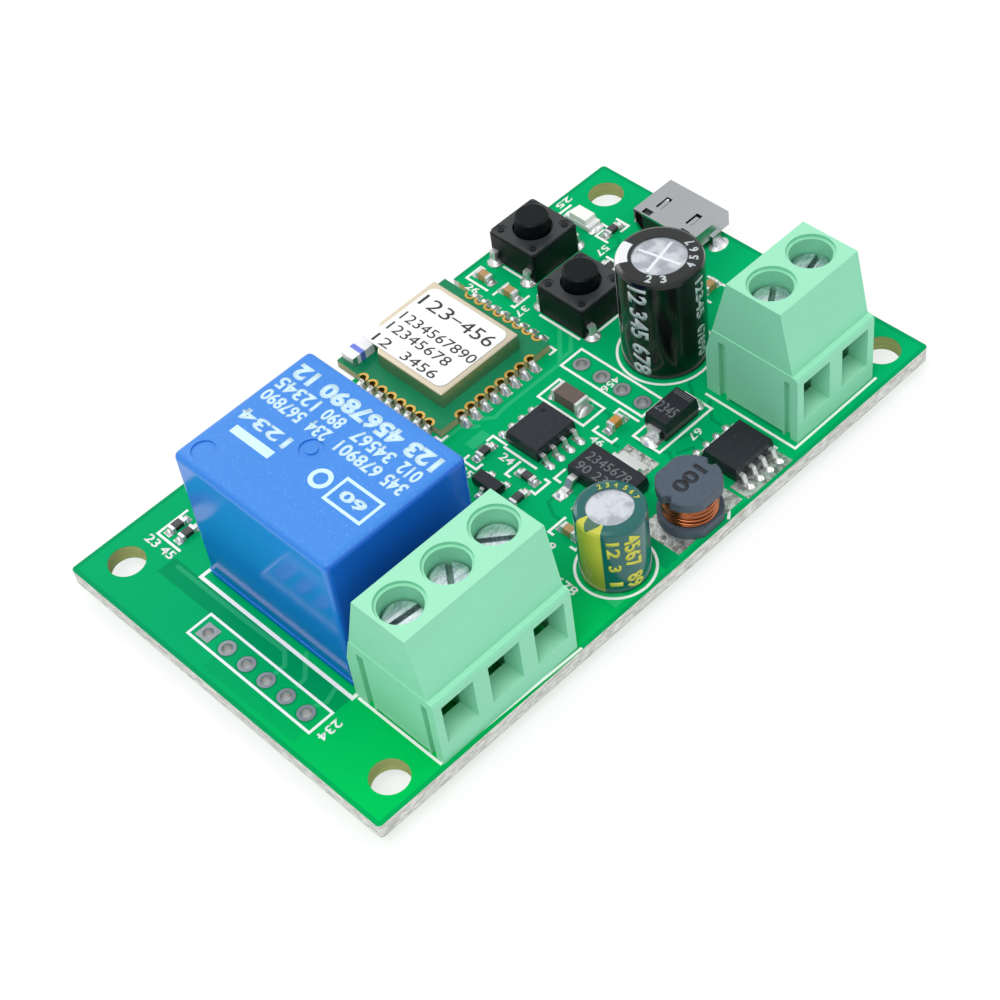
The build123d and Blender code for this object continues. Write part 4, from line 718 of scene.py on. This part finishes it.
def upright(node):
    # The middle, radius and top of a round piece that stands upright
    low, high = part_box(node)
    return (low + high) / 2, (high.x - low.x) / 2, high.z


def join(parts, name):
    fresh()
    for part in parts:
        part.select_set(True)
    bpy.context.view_layer.objects.active = parts[0]
    if len(parts) > 1:
        bpy.ops.object.join()
    made = bpy.context.object
    made.name = name
    made.data.name = name
    return seat(made)


def finish_piece(obj, shader, body):
    obj.data.materials.clear()
    obj.data.materials.append(shader.material)
    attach(obj, body)
    return obj


def at(x, y, z=0.0):
    # From millimetres on the board to metres in the frame
    return ((x + CORNER.x) * MM, (y + CORNER.y) * MM, (z + BOARD_TOP) * MM)


def mitre(points, i, closed):
    # The way from a corner to the line's left edge, long enough to meet both runs' edges
    count = len(points)
    before, here, after = points[i - 1], points[i], points[(i + 1) % count]
    ways = []
    for a, b, used in ((before, here, closed or i > 0), (here, after, closed or i < count - 1)):
        if used:
            run = hypot(b[0] - a[0], b[1] - a[1])
            ways.append(Vector((a[1] - b[1], b[0] - a[0])) / run)
    if len(ways) == 1:
        return ways[0]
    return (ways[0] + ways[1]) / (1 + ways[0].dot(ways[1]))


def ribbon(points, z, width, closed=False):
    # A flat line with mitred corners: a grid with one cell for each run, set out along the points
    points = list(points)
    if not closed:
        # Each end reaches on by half the width
        for end, inner in ((0, 1), (-1, -2)):
            (ex, ey), (ix, iy) = points[end], points[inner]
            reach = width / 2 / hypot(ex - ix, ey - iy)
            points[end] = (ex + (ex - ix) * reach, ey + (ey - iy) * reach)
    runs = len(points) if closed else len(points) - 1
    bpy.ops.mesh.primitive_grid_add(x_subdivisions=runs, y_subdivisions=1, size=1)
    made = bpy.context.object
    for vertex in made.data.vertices:
        column = round((vertex.co.x + 0.5) * runs) % len(points)
        way = mitre(points, column, closed) * (width / 2 if vertex.co.y > 0 else -width / 2)
        vertex.co = at(points[column][0] + way.x, points[column][1] + way.y, z)
    return made


def arc_points(x, y, radius, start, end):
    # Points on an arc, a few degrees apart
    steps = max(6, int(abs(end - start) / 7.5))
    angles = [radians(start + (end - start) * k / steps) for k in range(steps + (abs(end - start) < 360))]
    return [(x + radius * cos(a), y + radius * sin(a)) for a in angles]


def disc(points, z):
    # A flat filled shape
    bpy.ops.mesh.primitive_circle_add(vertices=len(points), radius=1, fill_type="NGON")
    made = bpy.context.object
    for vertex in made.data.vertices:
        vertex.co = at(*points[vertex.index], z)
    return made


def number(words, x, y, z, tall, long, turn, bold=0.02):
    # Plain digits from their lower left corner, stretched to a height and a length
    bpy.ops.object.text_add(location=(0, 0, 0))
    made = bpy.context.object
    made.data.body = words
    made.data.resolution_u = 3
    made.data.offset = bold
    fresh()
    made.select_set(True)
    bpy.context.view_layer.objects.active = made
    bpy.ops.object.convert(target="MESH")
    made = bpy.context.object
    low = [min(v.co[k] for v in made.data.vertices) for k in (0, 1)]
    high = [max(v.co[k] for v in made.data.vertices) for k in (0, 1)]
    sizing = Matrix.Diagonal((long * MM / (high[0] - low[0]), tall * MM / (high[1] - low[1]), 1, 1))
    made.data.transform(sizing @ Matrix.Translation((-low[0], -low[1], 0)))
    made.data.transform(Matrix.Translation(at(x, y, z)) @ Matrix.Rotation(radians(turn), 4, "Z"))
    return made


def inked(parts, name, height, shader):
    # Joins flat print, whose faces lie at the top of the ink, and gives it the ink's thickness
    piece = join(parts, name)
    whole_mesh(bpy.ops.mesh.remove_doubles, threshold=0.002 * MM)
    thickness = piece.modifiers.new("thickness", "SOLIDIFY")
    thickness.thickness = height * MM
    thickness.offset = -1
    bpy.ops.object.modifier_apply(modifier="thickness")
    return finish_piece(piece, shader, "board")


def corners(x0, x1, y0, y1):
    return [(x0, y0), (x1, y0), (x1, y1), (x0, y1)]


# Printed outlines on the board: closed boxes as x0, x1, y0, y1
PRINT_BOXES = ((2.37, 4.98, 11.0, 26.74), (45.2, 47.93, 14.0, 24.1), (41.05, 43.8, 17.3, 23.0))
RELAY_RUN = ((7.97, 30.6), (7.05, 30.6), (7.05, 10.86), (7.8, 10.86))
RELAY_LINE = 0.36
# Printed open runs
PRINT_RUNS = (
    ((7.4, 10.4), (7.4, 0.7), (22.9, 0.15)),
    ((50.9, 11.4), (50.9, 1.1), (61.8, 1.1)),
    ((7.7, 34.4), (7.7, 37.5), (11.1, 37.5)),
    ((61.5, 38.7), (59.7, 38.7)), ((61.5, 34.4), (61.5, 33.7)),
    ((59.9, 32.2), (59.9, 33.7), (60.9, 33.7)), ((62.9, 33.7), (62.9, 32.2), (61.9, 32.2)),
    ((34.7, 17.0), (34.7, 20.9)),
    ((31.9, 21.0), (31.2, 21.0), (31.2, 22.7), (31.9, 22.7)), ((34.3, 22.7), (35.0, 22.7), (35.0, 21.0)),
    ((32.5, 15.4), (32.5, 14.9), (34.3, 14.9), (34.3, 15.4)), ((32.5, 18.1), (32.5, 18.6), (34.3, 18.6)),
    ((30.2, 8.3), (30.2, 7.8), (32.2, 7.8), (32.2, 8.3)), ((30.2, 10.5), (30.2, 11.0), (32.2, 11.0)),
    ((47.9, 36.6), (47.9, 39.4), (49.8, 39.4), (49.8, 38.9)), ((47.9, 33.2), (47.9, 32.9), (49.8, 32.9)),
    ((47.9, 35.7), (49.8, 35.7)),
    ((41.8, 13.9), (41.2, 13.9), (41.2, 16.2), (41.8, 16.2)), ((44.0, 16.2), (44.6, 16.2), (44.6, 13.9)),
    ((34.9, 14.2), (34.9, 14.9), (36.2, 14.9)),
    ((48.7, 25.2), (48.7, 30.2)), ((50.6, 24.5), (53.4, 24.5)),
    ((51.2, 35.2), (51.2, 37.6)), ((53.2, 33.3), (55.7, 33.3)),
    ((59.9, 19.0), (59.9, 21.4), (60.6, 21.4)), ((62.4, 19.0), (62.4, 21.4)),
    ((49.9, 2.4), (49.9, 6.1)), ((56.7, 28.0), (56.7, 30.8)), ((58.4, 28.0), (58.4, 30.8)),
    ((31.6, 26.6), (31.6, 25.9), (32.3, 25.9)), ((45.6, 25.9), (46.3, 25.9), (46.3, 26.6)),
)
DIODE_BOX = (43.0, 49.85, 9.85, 13.0)
# Printed arcs: centre, radius, start and end in degrees
PRINT_ARCS = ((52.75, 18.05, 4.45, 0, 360), (31.15, 3.95, 3.5, 0, 360), (39.5, 3.0, 3.25, 302, 345))
# Plain numbers beside the components: digits, lower left corner, height, length, turn
PRINT_NUMBERS = (
    ("234", 4.85, 10.40, 0.95, 2.3, 180), ("23", 6.42, 37.95, 0.95, 1.6, -90),
    ("45", 6.42, 35.85, 0.95, 1.6, -90), ("678", 26.4, 6.90, 0.95, 2.4, -90),
    ("9", 28.75, 10.0, 0.85, 0.7, -90), ("456", 47.4, 19.35, 0.8, 2.1, 180),
    ("67", 47.4, 9.35, 0.85, 1.5, 180), ("24", 33.4, 20.5, 0.9, 1.5, -90),
    ("35", 29.95, 22.2, 0.85, 1.5, -90), ("46", 40.1, 15.8, 0.8, 1.5, -90),
    ("25", 62.4, 39.9, 0.75, 1.9, 180), ("57", 59.5, 32.2, 0.85, 1.5, 180),
    ("26", 46.8, 38.6, 0.8, 1.5, -90), ("37", 48.7, 32.4, 0.85, 1.5, 180),
    ("48", 62.3, 22.6, 0.8, 1.4, 180),
)


def ink_finish(name, base, roughness=0.5):
    return grained_finish(name, base, 0.06, roughness, 0.1, 0.25, 0.015, 0.35)


def build_print():
    width, height = sizes().print_line / MM, sizes().print_height / MM
    parts = [ribbon(corners(*box), height, width, True) for box in PRINT_BOXES + (DIODE_BOX,)]
    parts += [ribbon(run, height, width) for run in PRINT_RUNS]
    parts.append(ribbon(RELAY_RUN, height, RELAY_LINE))
    for x, y, radius, start, end in PRINT_ARCS:
        parts.append(ribbon(arc_points(x, y, radius, start, end), height, width, end - start >= 360))
    for words, x, y, tall, long, turn in PRINT_NUMBERS:
        parts.append(number(words, x, y, height, tall, long, turn))
    return inked(parts, "board_print", height, ink_finish("white_ink", colours().print_white))


# Lines of plain digits on the relay's top: foot of the line, digit height, boldness, and its words
# as digits, start and length
RELAY_ROWS = (
    (21.8, 1.8, 0.05, (("123 4567890 12", 12.2, 17.2),)),
    (19.75, 1.4, 0.03, (("012", 12.4, 2.3), ("34567", 15.6, 4.6), ("890", 21.5, 2.3), ("12345", 24.7, 4.8))),
    (18.05, 1.4, 0.03,
     (("345", 12.4, 2.3), ("678901", 15.3, 5.0), ("234", 21.5, 2.3), ("567890", 24.6, 4.9))),
)
PLAIN_FRAME = (12.8, 15.4, 12.7, 16.9)
PLAIN_BAR = (12.6, 13.5, 23.6, 28.4)
RING_MIDDLE, RING_RADIUS = (14.0, 18.6), 0.85
# Thickness of the ink on the relay, on the label, and on the packages and the inductor
RELAY_INK = 0.004
LABEL_INK = 0.012
PACKAGE_INK = 0.01


def build_relay_print():
    top = over_board("relay_case")
    height = RELAY_INK
    parts = []
    for x, tall, bold, words in RELAY_ROWS:
        for digits, y, long in words:
            parts.append(number(digits, x, y, top + height, tall, long, 90, bold))
    parts.append(ribbon(corners(*PLAIN_FRAME), top + height, 0.3, True))
    parts.append(number("60", 14.6, 13.4, top + height, 1.1, 2.8, 90, 0.04))
    parts.append(ribbon(arc_points(*RING_MIDDLE, RING_RADIUS, 0, 360), top + height, 0.42, True))
    parts.append(number("1234", 15.4, 23.4, top + height, 1.3, 5.9, 90, 0.03))
    parts.append(disc(corners(*PLAIN_BAR), top + height))
    pale_blue = ink_finish("relay_ink", (0.56, 0.78, 0.90), 0.4)
    return inked(parts, "relay_top_print", height, pale_blue)


# Rows of digits on the shield's label: digits, foot of the row, digit height, start and length
LABEL_ROWS = (
    ("123", 40.75, 1.5, 38.3, 3.9), ("456", 40.75, 1.5, 32.9, 4.0), ("1234567890", 38.3, 1.15, 38.2, 9.6),
    ("12345678", 36.6, 1.15, 38.2, 8.0), ("12", 34.75, 1.1, 38.2, 2.1), ("3456", 34.75, 1.1, 34.4, 4.4),
)


def build_label_print():
    top = over_board("radio_label")
    height = LABEL_INK
    parts = []
    for words, x, tall, y, long in LABEL_ROWS:
        parts.append(number(words, x, y, top + height, tall, long, -90, 0.0))
    parts.append(ribbon(((41.5, 34.2), (41.5, 33.1)), top + height, 0.16))
    black = ink_finish("label_ink", (0.02, 0.02, 0.02), 0.45)
    return inked(parts, "label_print", height, black)


# Pale digits on the dark packages: digits, lower left corner, the package's height, digit height,
# length, turn
PACKAGE_NUMBERS = (
    ("2345678", 37.35, 13.4, 1.7, 1.0, 4.9, -90), ("90 23", 36.0, 13.4, 1.7, 0.95, 3.4, -90),
    ("2345", 45.2, 12.45, 2.25, 1.2, 2.1, -90),
    ("234", 32.75, 22.05, 0.5, 0.42, 0.70, 0), ("234", 33.2, 17.1, 0.5, 0.42, 0.70, -90),
    ("234", 30.75, 15.45, 0.5, 0.42, 0.70, 0), ("567", 9.05, 36.5, 0.5, 0.42, 0.70, 0),
    ("567", 9.05, 35.1, 0.5, 0.42, 0.70, 0), ("678", 61.05, 32.7, 0.5, 0.42, 0.70, 0),
)
DIODE_TOP = 2.25
# Fine lines across the diode's marked end
DIODE_LINES = (47.75, 47.95, 48.15)


def build_package_print():
    parts = []
    height = PACKAGE_INK
    for words, x, y, top, tall, long, turn in PACKAGE_NUMBERS:
        parts.append(number(words, x, y, top + height, tall, long, turn, 0.0))
    for x in DIODE_LINES:
        parts.append(ribbon(((x, 10.4), (x, 12.4)), DIODE_TOP + height, 0.07))
    grey = ink_finish("pale_mark", (0.13, 0.14, 0.15))
    return inked(parts, "package_print", height, grey)


def build_core_print():
    # The inductor's value, as a plain number in dark ink
    top = over_board("inductor_core")
    flat = number("100", 41.2, 3.8, top + PACKAGE_INK, 1.5, 3.3, 180, 0.04)
    dark = ink_finish("core_ink", (0.012, 0.014, 0.02))
    return inked([flat], "core_print", PACKAGE_INK, dark)


# Thickness of the ink on the sleeves
SLEEVE_INK = 0.03


def wrapped(made, node, angle, top):
    # Lays a flat row round an upright sleeve: the row runs down the wall, its digits' tops to the right
    centre, radius = upright(node)[:2]
    reach = max(v.co.y for v in made.data.vertices)
    cuts = int(reach / (0.25 * MM))
    bpy.ops.object.mode_set(mode="EDIT")
    for k in range(1, cuts + 1):
        bpy.ops.mesh.select_all(action="SELECT")
        bpy.ops.mesh.bisect(plane_co=(0, reach * k / (cuts + 1), 0), plane_no=(0, 1, 0))
    bpy.ops.object.mode_set(mode="OBJECT")
    for vertex in made.data.vertices:
        turn = radians(angle) + vertex.co.y / radius
        out = radius + SLEEVE_INK * MM
        height = (top + BOARD_TOP) * MM - vertex.co.x
        vertex.co = (centre.x + out * cos(turn), centre.y + out * sin(turn), height)
    return made


# Rows on the sleeves: digits, digit height, row length, angle of the digits' feet, height of the
# row's start
LARGE_ROWS = (("12", 1.9, 1.9, 178.0, 11.0), ("345 678", 1.9, 7.9, 178.0, 8.4),
              ("12345", 1.2, 4.6, 272.0, 10.6), ("67890", 1.2, 3.6, 272.0, 5.0))
SMALL_ROWS = (("12", 1.1, 2.0, 216.0, 6.7), ("3", 1.1, 0.8, 216.0, 3.8), ("1", 1.1, 0.5, 216.0, 1.6),
              ("4567", 1.6, 4.0, 243.0, 7.0), ("89", 1.6, 1.7, 243.0, 2.2))
# Digits round the top of each sleeve: digits, angle of the first, step, digit height, middle radius
LARGE_RING = (("23", 205.0, 24.0, 0.95, 3.05), ("4567", 285.0, 19.0, 0.85, 3.05))
SMALL_RING = (("234", 65.0, -17.0, 0.52, 2.36), ("567", 10.0, -17.0, 0.52, 2.36))


def ring_numbers(node, groups):
    centre = upright(node)[0] / MM - CORNER
    top = over_board(node)
    parts = []
    for digits, start, step, tall, radius in groups:
        for k, digit in enumerate(digits):
            # The digits' tops point inwards, or outwards where they run on clockwise
            angle = radians(start + step * k)
            turn = start + step * k + (90 if step > 0 else -90)
            along = Vector((cos(radians(turn)), sin(radians(turn))))
            up = Vector((-along.y, along.x))
            corner = Vector((centre.x + radius * cos(angle), centre.y + radius * sin(angle)))
            corner -= along * tall * 0.3 + up * tall / 2
            place = (corner.x, corner.y, top + SLEEVE_INK)
            parts.append(number(digit, *place, tall, tall * 0.6, turn, 0.03))
    return parts


def build_sleeve_print(name, node, rows, ring, base):
    parts = ring_numbers(node, ring)
    for words, tall, long, angle, top in rows:
        flat = number(words, -CORNER.x, -CORNER.y, -BOARD_TOP, tall, long, 0, 0.03)
        parts.append(wrapped(flat, node, angle, top))
    return inked(parts, name, SLEEVE_INK * 1.5, ink_finish(name + "_ink", base, 0.35))


# Solder
def blob(x, y, z, size_x, size_y, tall):
    # A lump of solder: half a ball, pulled low and wide at its foot
    bpy.ops.mesh.primitive_uv_sphere_add(segments=14, ring_count=8, radius=1, location=(0, 0, 0))
    made = bpy.context.object
    whole_mesh(bpy.ops.mesh.bisect, plane_co=(0, 0, 0), plane_no=(0, 0, 1), clear_inner=True, use_fill=True)
    for vertex in made.data.vertices:
        spread = 1.0 + 0.35 * (1 - vertex.co.z) ** 3
        half_x, half_y = spread * size_x * MM / 2, spread * size_y * MM / 2
        vertex.co = (vertex.co.x * half_x, vertex.co.y * half_y, vertex.co.z * tall * MM)
    made.location = at(x, y, z)
    bpy.ops.object.shade_smooth_by_angle(angle=radians(70))
    return made


# Solder lumps stand on the pads' faces
PAD_TOP = 0.04
# Eight-lead packages: their middles, the pitch of the leads, and how far the leads reach out
EIGHT_LEADS = ((37.6, 19.15), (47.0, 4.25))
LEAD_PITCH = 1.27
LEAD_REACH = 2.95
REGULATOR_LEADS = ((34.05, 8.5), (34.05, 10.8), (34.05, 13.1))
TRANSISTOR_LEADS = ((31.65, 19.5), (31.65, 17.6), (29.15, 18.55))
DIODE_ENDS = ((43.35, 11.4), (49.35, 11.4))
# Small chips: middle, and whether their ends lie along Y
CHIPS = (
    (33.1, 21.85, False), (33.4, 16.75, True), (31.1, 15.65, False), (9.4, 36.7, False), (9.4, 35.3, False),
    (61.4, 32.9, False), (57.5, 29.4, True), (42.95, 15.1, False), (31.2, 9.4, True), (48.85, 37.9, True),
    (48.85, 34.4, True), (61.2, 20.2, False),
)
CHIP_REACH = 0.98
LARGE_CHIP_ENDS = ((42.4, 18.35), (42.4, 21.95))
INDICATOR_ENDS = ((60.6, 34.35), (60.6, 37.85))
SHELL_TABS = ((66.3, 31.85), (66.3, 23.65))
# Switches: middle, and whether their feet stick out along X
SWITCHES = ((54.45, 36.5, True), (51.95, 27.7, False))
FOOT_REACH, FOOT_SPACE = 3.27, 2.25
# Pitch of the module's half holes, and how far the solder stands off its edge
MODULE_PITCH = 1.27
MODULE_STANDOFF = 0.45
# Half holes on each side of the module, and how far the first stands from the corner
SIDE_HOLES = 8
FIRST_ON_SIDE, FIRST_ON_FRONT = 1.53, 2.6


def lumps(places, size_x, size_y, tall, foot=PAD_TOP):
    return [blob(x, y, foot, size_x, size_y, tall) for x, y in places]


def build_solder():
    tall = sizes().solder_blob / MM
    parts = []
    for x, y in EIGHT_LEADS:
        for i in range(4):
            lead = x + LEAD_PITCH * (i - 1.5)
            parts += lumps(((lead, y - LEAD_REACH), (lead, y + LEAD_REACH)), 0.62, 0.8, tall * 0.7)
    parts += lumps(REGULATOR_LEADS, 0.9, 0.95, tall * 0.8)
    parts += lumps(DIODE_ENDS, 0.9, 1.5, tall)
    parts += lumps(TRANSISTOR_LEADS, 0.55, 0.6, tall * 0.7)
    for x, y, along_y in CHIPS:
        for reach in (-CHIP_REACH, CHIP_REACH):
            if along_y:
                parts += lumps(((x, y + reach),), 0.75, 0.5, 0.4)
            else:
                parts += lumps(((x + reach, y),), 0.5, 0.75, 0.4)
    parts += lumps(LARGE_CHIP_ENDS, 1.5, 0.7, 0.6)
    parts += lumps(INDICATOR_ENDS, 1.4, 0.7, 0.35)
    parts += lumps(switch_feet(), 1.15, 1.15, 0.55, 0.0)
    for x, y, along_x in half_holes():
        size_x, size_y = (0.95, 0.80) if along_x else (0.80, 0.95)
        parts += lumps(((x, y),), size_x, size_y, 0.74, 0.0)
    parts += lumps(SHELL_TABS, 1.7, 1.2, 0.35, 0.0)
    return finish_piece(join(parts, "solder_fillets"), solder_finish(), "board")


def switch_feet():
    feet = []
    for x, y, along_x in SWITCHES:
        reach_x, reach_y = (FOOT_REACH, FOOT_SPACE) if along_x else (FOOT_SPACE, FOOT_REACH)
        feet += [(x + i * reach_x, y + j * reach_y) for i in (-1, 1) for j in (-1, 1)]
    return feet


def half_holes():
    # Solder places just outside the module's half holes, and whether each is on a side that faces X
    low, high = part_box("radio_board")
    x0, x1 = low.x / MM - CORNER.x, high.x / MM - CORNER.x
    y0 = low.y / MM - CORNER.y
    places = []
    for i in range(SIDE_HOLES):
        along = MODULE_PITCH * i
        places.append((x0 - MODULE_STANDOFF, y0 + FIRST_ON_SIDE + along, True))
        places.append((x1 + MODULE_STANDOFF, y0 + FIRST_ON_SIDE + along, True))
        places.append((x0 + FIRST_ON_FRONT + along, y0 - MODULE_STANDOFF, False))
    return places


# Inductor winding
# Pitch of the turns and step between the layers, in radii of the wire, and the lean of a turn
TURN_PITCH, LAYER_STEP = 1.9, 1.6
TURN_LEAN, TURN_ROLL = 0.035, 0.03


def build_winding():
    centre, outside, top = upright("inductor_winding")
    foot = 2 * centre.z - top
    wire = sizes().wire / 2
    count = int((top - foot) / (wire * TURN_PITCH))
    parts = []
    for layer in range(2):
        radius = outside - wire * (1 + LAYER_STEP * layer)
        for i in range(count - layer):
            height = foot + wire * (1.05 + TURN_PITCH * i + layer)
            bpy.ops.mesh.primitive_torus_add(major_radius=radius, minor_radius=wire, major_segments=56,
                                             minor_segments=8, location=(centre.x, centre.y, height))
            ring = bpy.context.object
            ring.rotation_euler = (TURN_LEAN if i % 2 else -TURN_LEAN, TURN_ROLL * (i % 3 - 1), 0)
            bpy.ops.object.shade_smooth()
            parts.append(ring)
    piece = join(parts, "winding_wire")
    s = metal_finish("winding_enamel", colours().copper, 0.22, (1, 1, 1), 900.0, 0.2, 0.3)
    s.surface.inputs["Coat Weight"].default_value = 0.5
    finish_piece(piece, s, "board")
    return piece


def core_of_winding():
    # A dark fill between the wires, so no gap shows the ferrite behind
    centre, outside, top = upright("inductor_winding")
    radius = outside - sizes().wire * 1.2
    depth = 2 * (top - centre.z)
    bpy.ops.mesh.primitive_cylinder_add(vertices=48, radius=radius, depth=depth, location=centre)
    made = bpy.context.object
    whole_mesh(bpy.ops.mesh.bevel, offset=0.1 * MM, segments=2)
    piece = join([made], "winding_fill")
    return finish_piece(piece, metal_finish("winding_shadow", (0.20, 0.06, 0.02), 0.5), "board")


# Stage
# Lights: name, place, width, and power as a share of the key power
LIGHTS = (("key_light", (-0.25, -0.10, 0.55), 0.35, 3.0), ("fill_light", (0.45, -0.35, 0.35), 0.40, 1.2),
          ("rim_light", (0.10, 0.50, 0.40), 0.30, 1.4))
# The point on the board that the camera looks at, and its frame's shift
CAMERA_TARGET = (22.627, 13.445)
CAMERA_SHIFT = (0.0338, 0.0697)
SENSOR_WIDTH = 36.0
# How much of the floor's own white the camera sees; the rest is lit and holds the shadow
FLOOR_GLOW = 0.72


def build_floor():
    bpy.ops.mesh.primitive_plane_add(size=stage().floor_size, location=(0, 0, CAD_LOW.z))
    floor = bpy.context.object
    floor.name = "stage_floor"
    whole_mesh(bpy.ops.mesh.subdivide, number_cuts=4)
    s = Shader("stage_floor", specular=0.1)
    s.set(base_color=colours().floor, roughness=0.8)
    path = s.node("ShaderNodeLightPath").outputs
    seen = Value(s, path["Is Camera Ray"]).math("MAXIMUM", Value(s, path["Is Glossy Ray"]))
    seen = seen.math("MAXIMUM", Value(s, path["Is Transmission Ray"]))
    glow = s.node("ShaderNodeEmission", None, {"Color": (1, 1, 1), "Strength": 1.0}).outputs[0]
    sides = {0: seen * FLOOR_GLOW, 1: s.surface.outputs[0], 2: glow}
    lit = s.node("ShaderNodeMixShader", None, sides).outputs[0]
    out = next(n for n in s.tree.nodes if n.type == "OUTPUT_MATERIAL")
    s.tree.links.new(lit, out.inputs["Surface"])
    floor.data.materials.append(s.material)
    seat(floor)


def build_world():
    world = bpy.data.worlds.new("studio")
    world.use_nodes = True
    bpy.context.scene.world = world
    tree = world.node_tree
    back = tree.nodes["Background"]
    back.inputs["Color"].default_value = (1, 1, 1, 1)
    path = tree.nodes.new("ShaderNodeLightPath")
    seen = path.outputs["Is Camera Ray"]
    for ray in ("Is Glossy Ray", "Is Transmission Ray"):
        either = tree.nodes.new("ShaderNodeMath")
        either.operation = "MAXIMUM"
        tree.links.new(seen, either.inputs[0])
        tree.links.new(path.outputs[ray], either.inputs[1])
        seen = either.outputs[0]
    strength = tree.nodes.new("ShaderNodeMapRange")
    strength.inputs["To Min"].default_value = stage().world_strength
    strength.inputs["To Max"].default_value = 1.0
    tree.links.new(seen, strength.inputs["Value"])
    tree.links.new(strength.outputs[0], back.inputs["Strength"])


def area_light(name, place, size, power):
    bpy.ops.object.light_add(type="AREA", location=place)
    lamp = bpy.context.object
    lamp.name = name
    lamp.data.shape = "DISK"
    lamp.data.size = size
    lamp.data.energy = power
    lamp.rotation_euler = (-Vector(place)).to_track_quat("-Z", "Y").to_euler()


def build_camera():
    settings = stage()
    az, el, roll = settings.azimuth, settings.elevation, settings.roll
    back = Vector((-sin(az) * cos(el), -cos(az) * cos(el), sin(el)))
    target = Vector(at(*CAMERA_TARGET))
    forward = -back
    right = forward.cross(Vector((0, 0, 1))).normalized()
    up = right.cross(forward)
    right, up = cos(roll) * right + sin(roll) * up, cos(roll) * up - sin(roll) * right
    bpy.ops.object.camera_add(location=target + back * settings.distance)
    camera = bpy.context.object
    camera.name = "photo_camera"
    camera.rotation_euler = Matrix((right, up, back)).transposed().to_euler()
    camera.data.lens = settings.lens
    camera.data.sensor_width = SENSOR_WIDTH
    camera.data.sensor_fit = "HORIZONTAL"
    camera.data.shift_x, camera.data.shift_y = CAMERA_SHIFT
    camera.data.clip_start = 0.005
    camera.data.clip_end = 20.0
    bpy.context.scene.camera = camera


class RELAYBOARD_OT_stage(bpy.types.Operator):
    """Make the floor, the world, the lights and the camera"""

    bl_idname = "relay_board.stage"
    bl_label = "Stage"

    def execute(self, context):
        context.scene.view_settings.view_transform = "Standard"
        fresh()
        build_floor()
        build_world()
        for name, place, size, share in LIGHTS:
            area_light(name, place, size, stage().key_power * share)
        build_camera()
        return {"FINISHED"}


class RELAYBOARD_OT_finishes(bpy.types.Operator):
    """Give every carried-over piece its finish"""

    bl_idname = "relay_board.finishes"
    bl_label = "Finishes"

    def execute(self, context):
        dress_nodes()
        return {"FINISHED"}


class RELAYBOARD_OT_print(bpy.types.Operator):
    """Print the outlines on the board, and plain digits on the relay, label, packages and sleeves"""

    bl_idname = "relay_board.print"
    bl_label = "Print"

    def execute(self, context):
        build_print()
        build_relay_print()
        build_label_print()
        build_package_print()
        build_core_print()
        build_sleeve_print("large_sleeve_print", "capacitor_large_sleeve", LARGE_ROWS, LARGE_RING,
                           (0.50, 0.56, 0.58))
        build_sleeve_print("small_sleeve_print", "capacitor_small_sleeve", SMALL_ROWS, SMALL_RING,
                           colours().stripe_yellow)
        return {"FINISHED"}


class RELAYBOARD_OT_solder(bpy.types.Operator):
    """Add the solder fillets at the leads and end caps"""

    bl_idname = "relay_board.solder"
    bl_label = "Solder"

    def execute(self, context):
        build_solder()
        return {"FINISHED"}


class RELAYBOARD_OT_winding(bpy.types.Operator):
    """Wind the inductor with separate turns of wire"""

    bl_idname = "relay_board.winding"
    bl_label = "Winding"

    def execute(self, context):
        wires = build_winding()
        core_of_winding()
        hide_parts("inductor_winding")
        return {"FINISHED"}


class RELAYBOARD_PT_panel(bpy.types.Panel):
    """Lists the board's settings and steps"""

    bl_idname = "RELAYBOARD_PT_panel"
    bl_label = "Relay Board"
    bl_space_type = "VIEW_3D"
    bl_region_type = "UI"
    bl_category = "Relay Board"

    def draw(self, context):
        scene = context.scene
        for group in (scene.relay_board_colours, scene.relay_board_sizes, scene.relay_board_stage):
            column = self.layout.column(align=True)
            for name in group.__annotations__:
                column.prop(group, name)
        for step in STEPS:
            self.layout.operator(step.bl_idname)


GROUPS = (RELAYBOARD_PG_colours, RELAYBOARD_PG_sizes, RELAYBOARD_PG_stage)
STEPS = (RELAYBOARD_OT_stage, RELAYBOARD_OT_finishes, RELAYBOARD_OT_print, RELAYBOARD_OT_solder,
         RELAYBOARD_OT_winding)


def register():
    for cls in GROUPS + STEPS + (RELAYBOARD_PT_panel,):
        bpy.utils.register_class(cls)
    bpy.types.Scene.relay_board_colours = PointerProperty(type=RELAYBOARD_PG_colours)
    bpy.types.Scene.relay_board_sizes = PointerProperty(type=RELAYBOARD_PG_sizes)
    bpy.types.Scene.relay_board_stage = PointerProperty(type=RELAYBOARD_PG_stage)


def unregister():
    del bpy.types.Scene.relay_board_colours
    del bpy.types.Scene.relay_board_sizes
    del bpy.types.Scene.relay_board_stage
    for cls in reversed(GROUPS + STEPS + (RELAYBOARD_PT_panel,)):
        bpy.utils.unregister_class(cls)


def main():
    register()
    for step in STEPS:
        group, name = step.bl_idname.split(".")
        getattr(getattr(bpy.ops, group), name)()


if __name__ == "__main__":
    main()
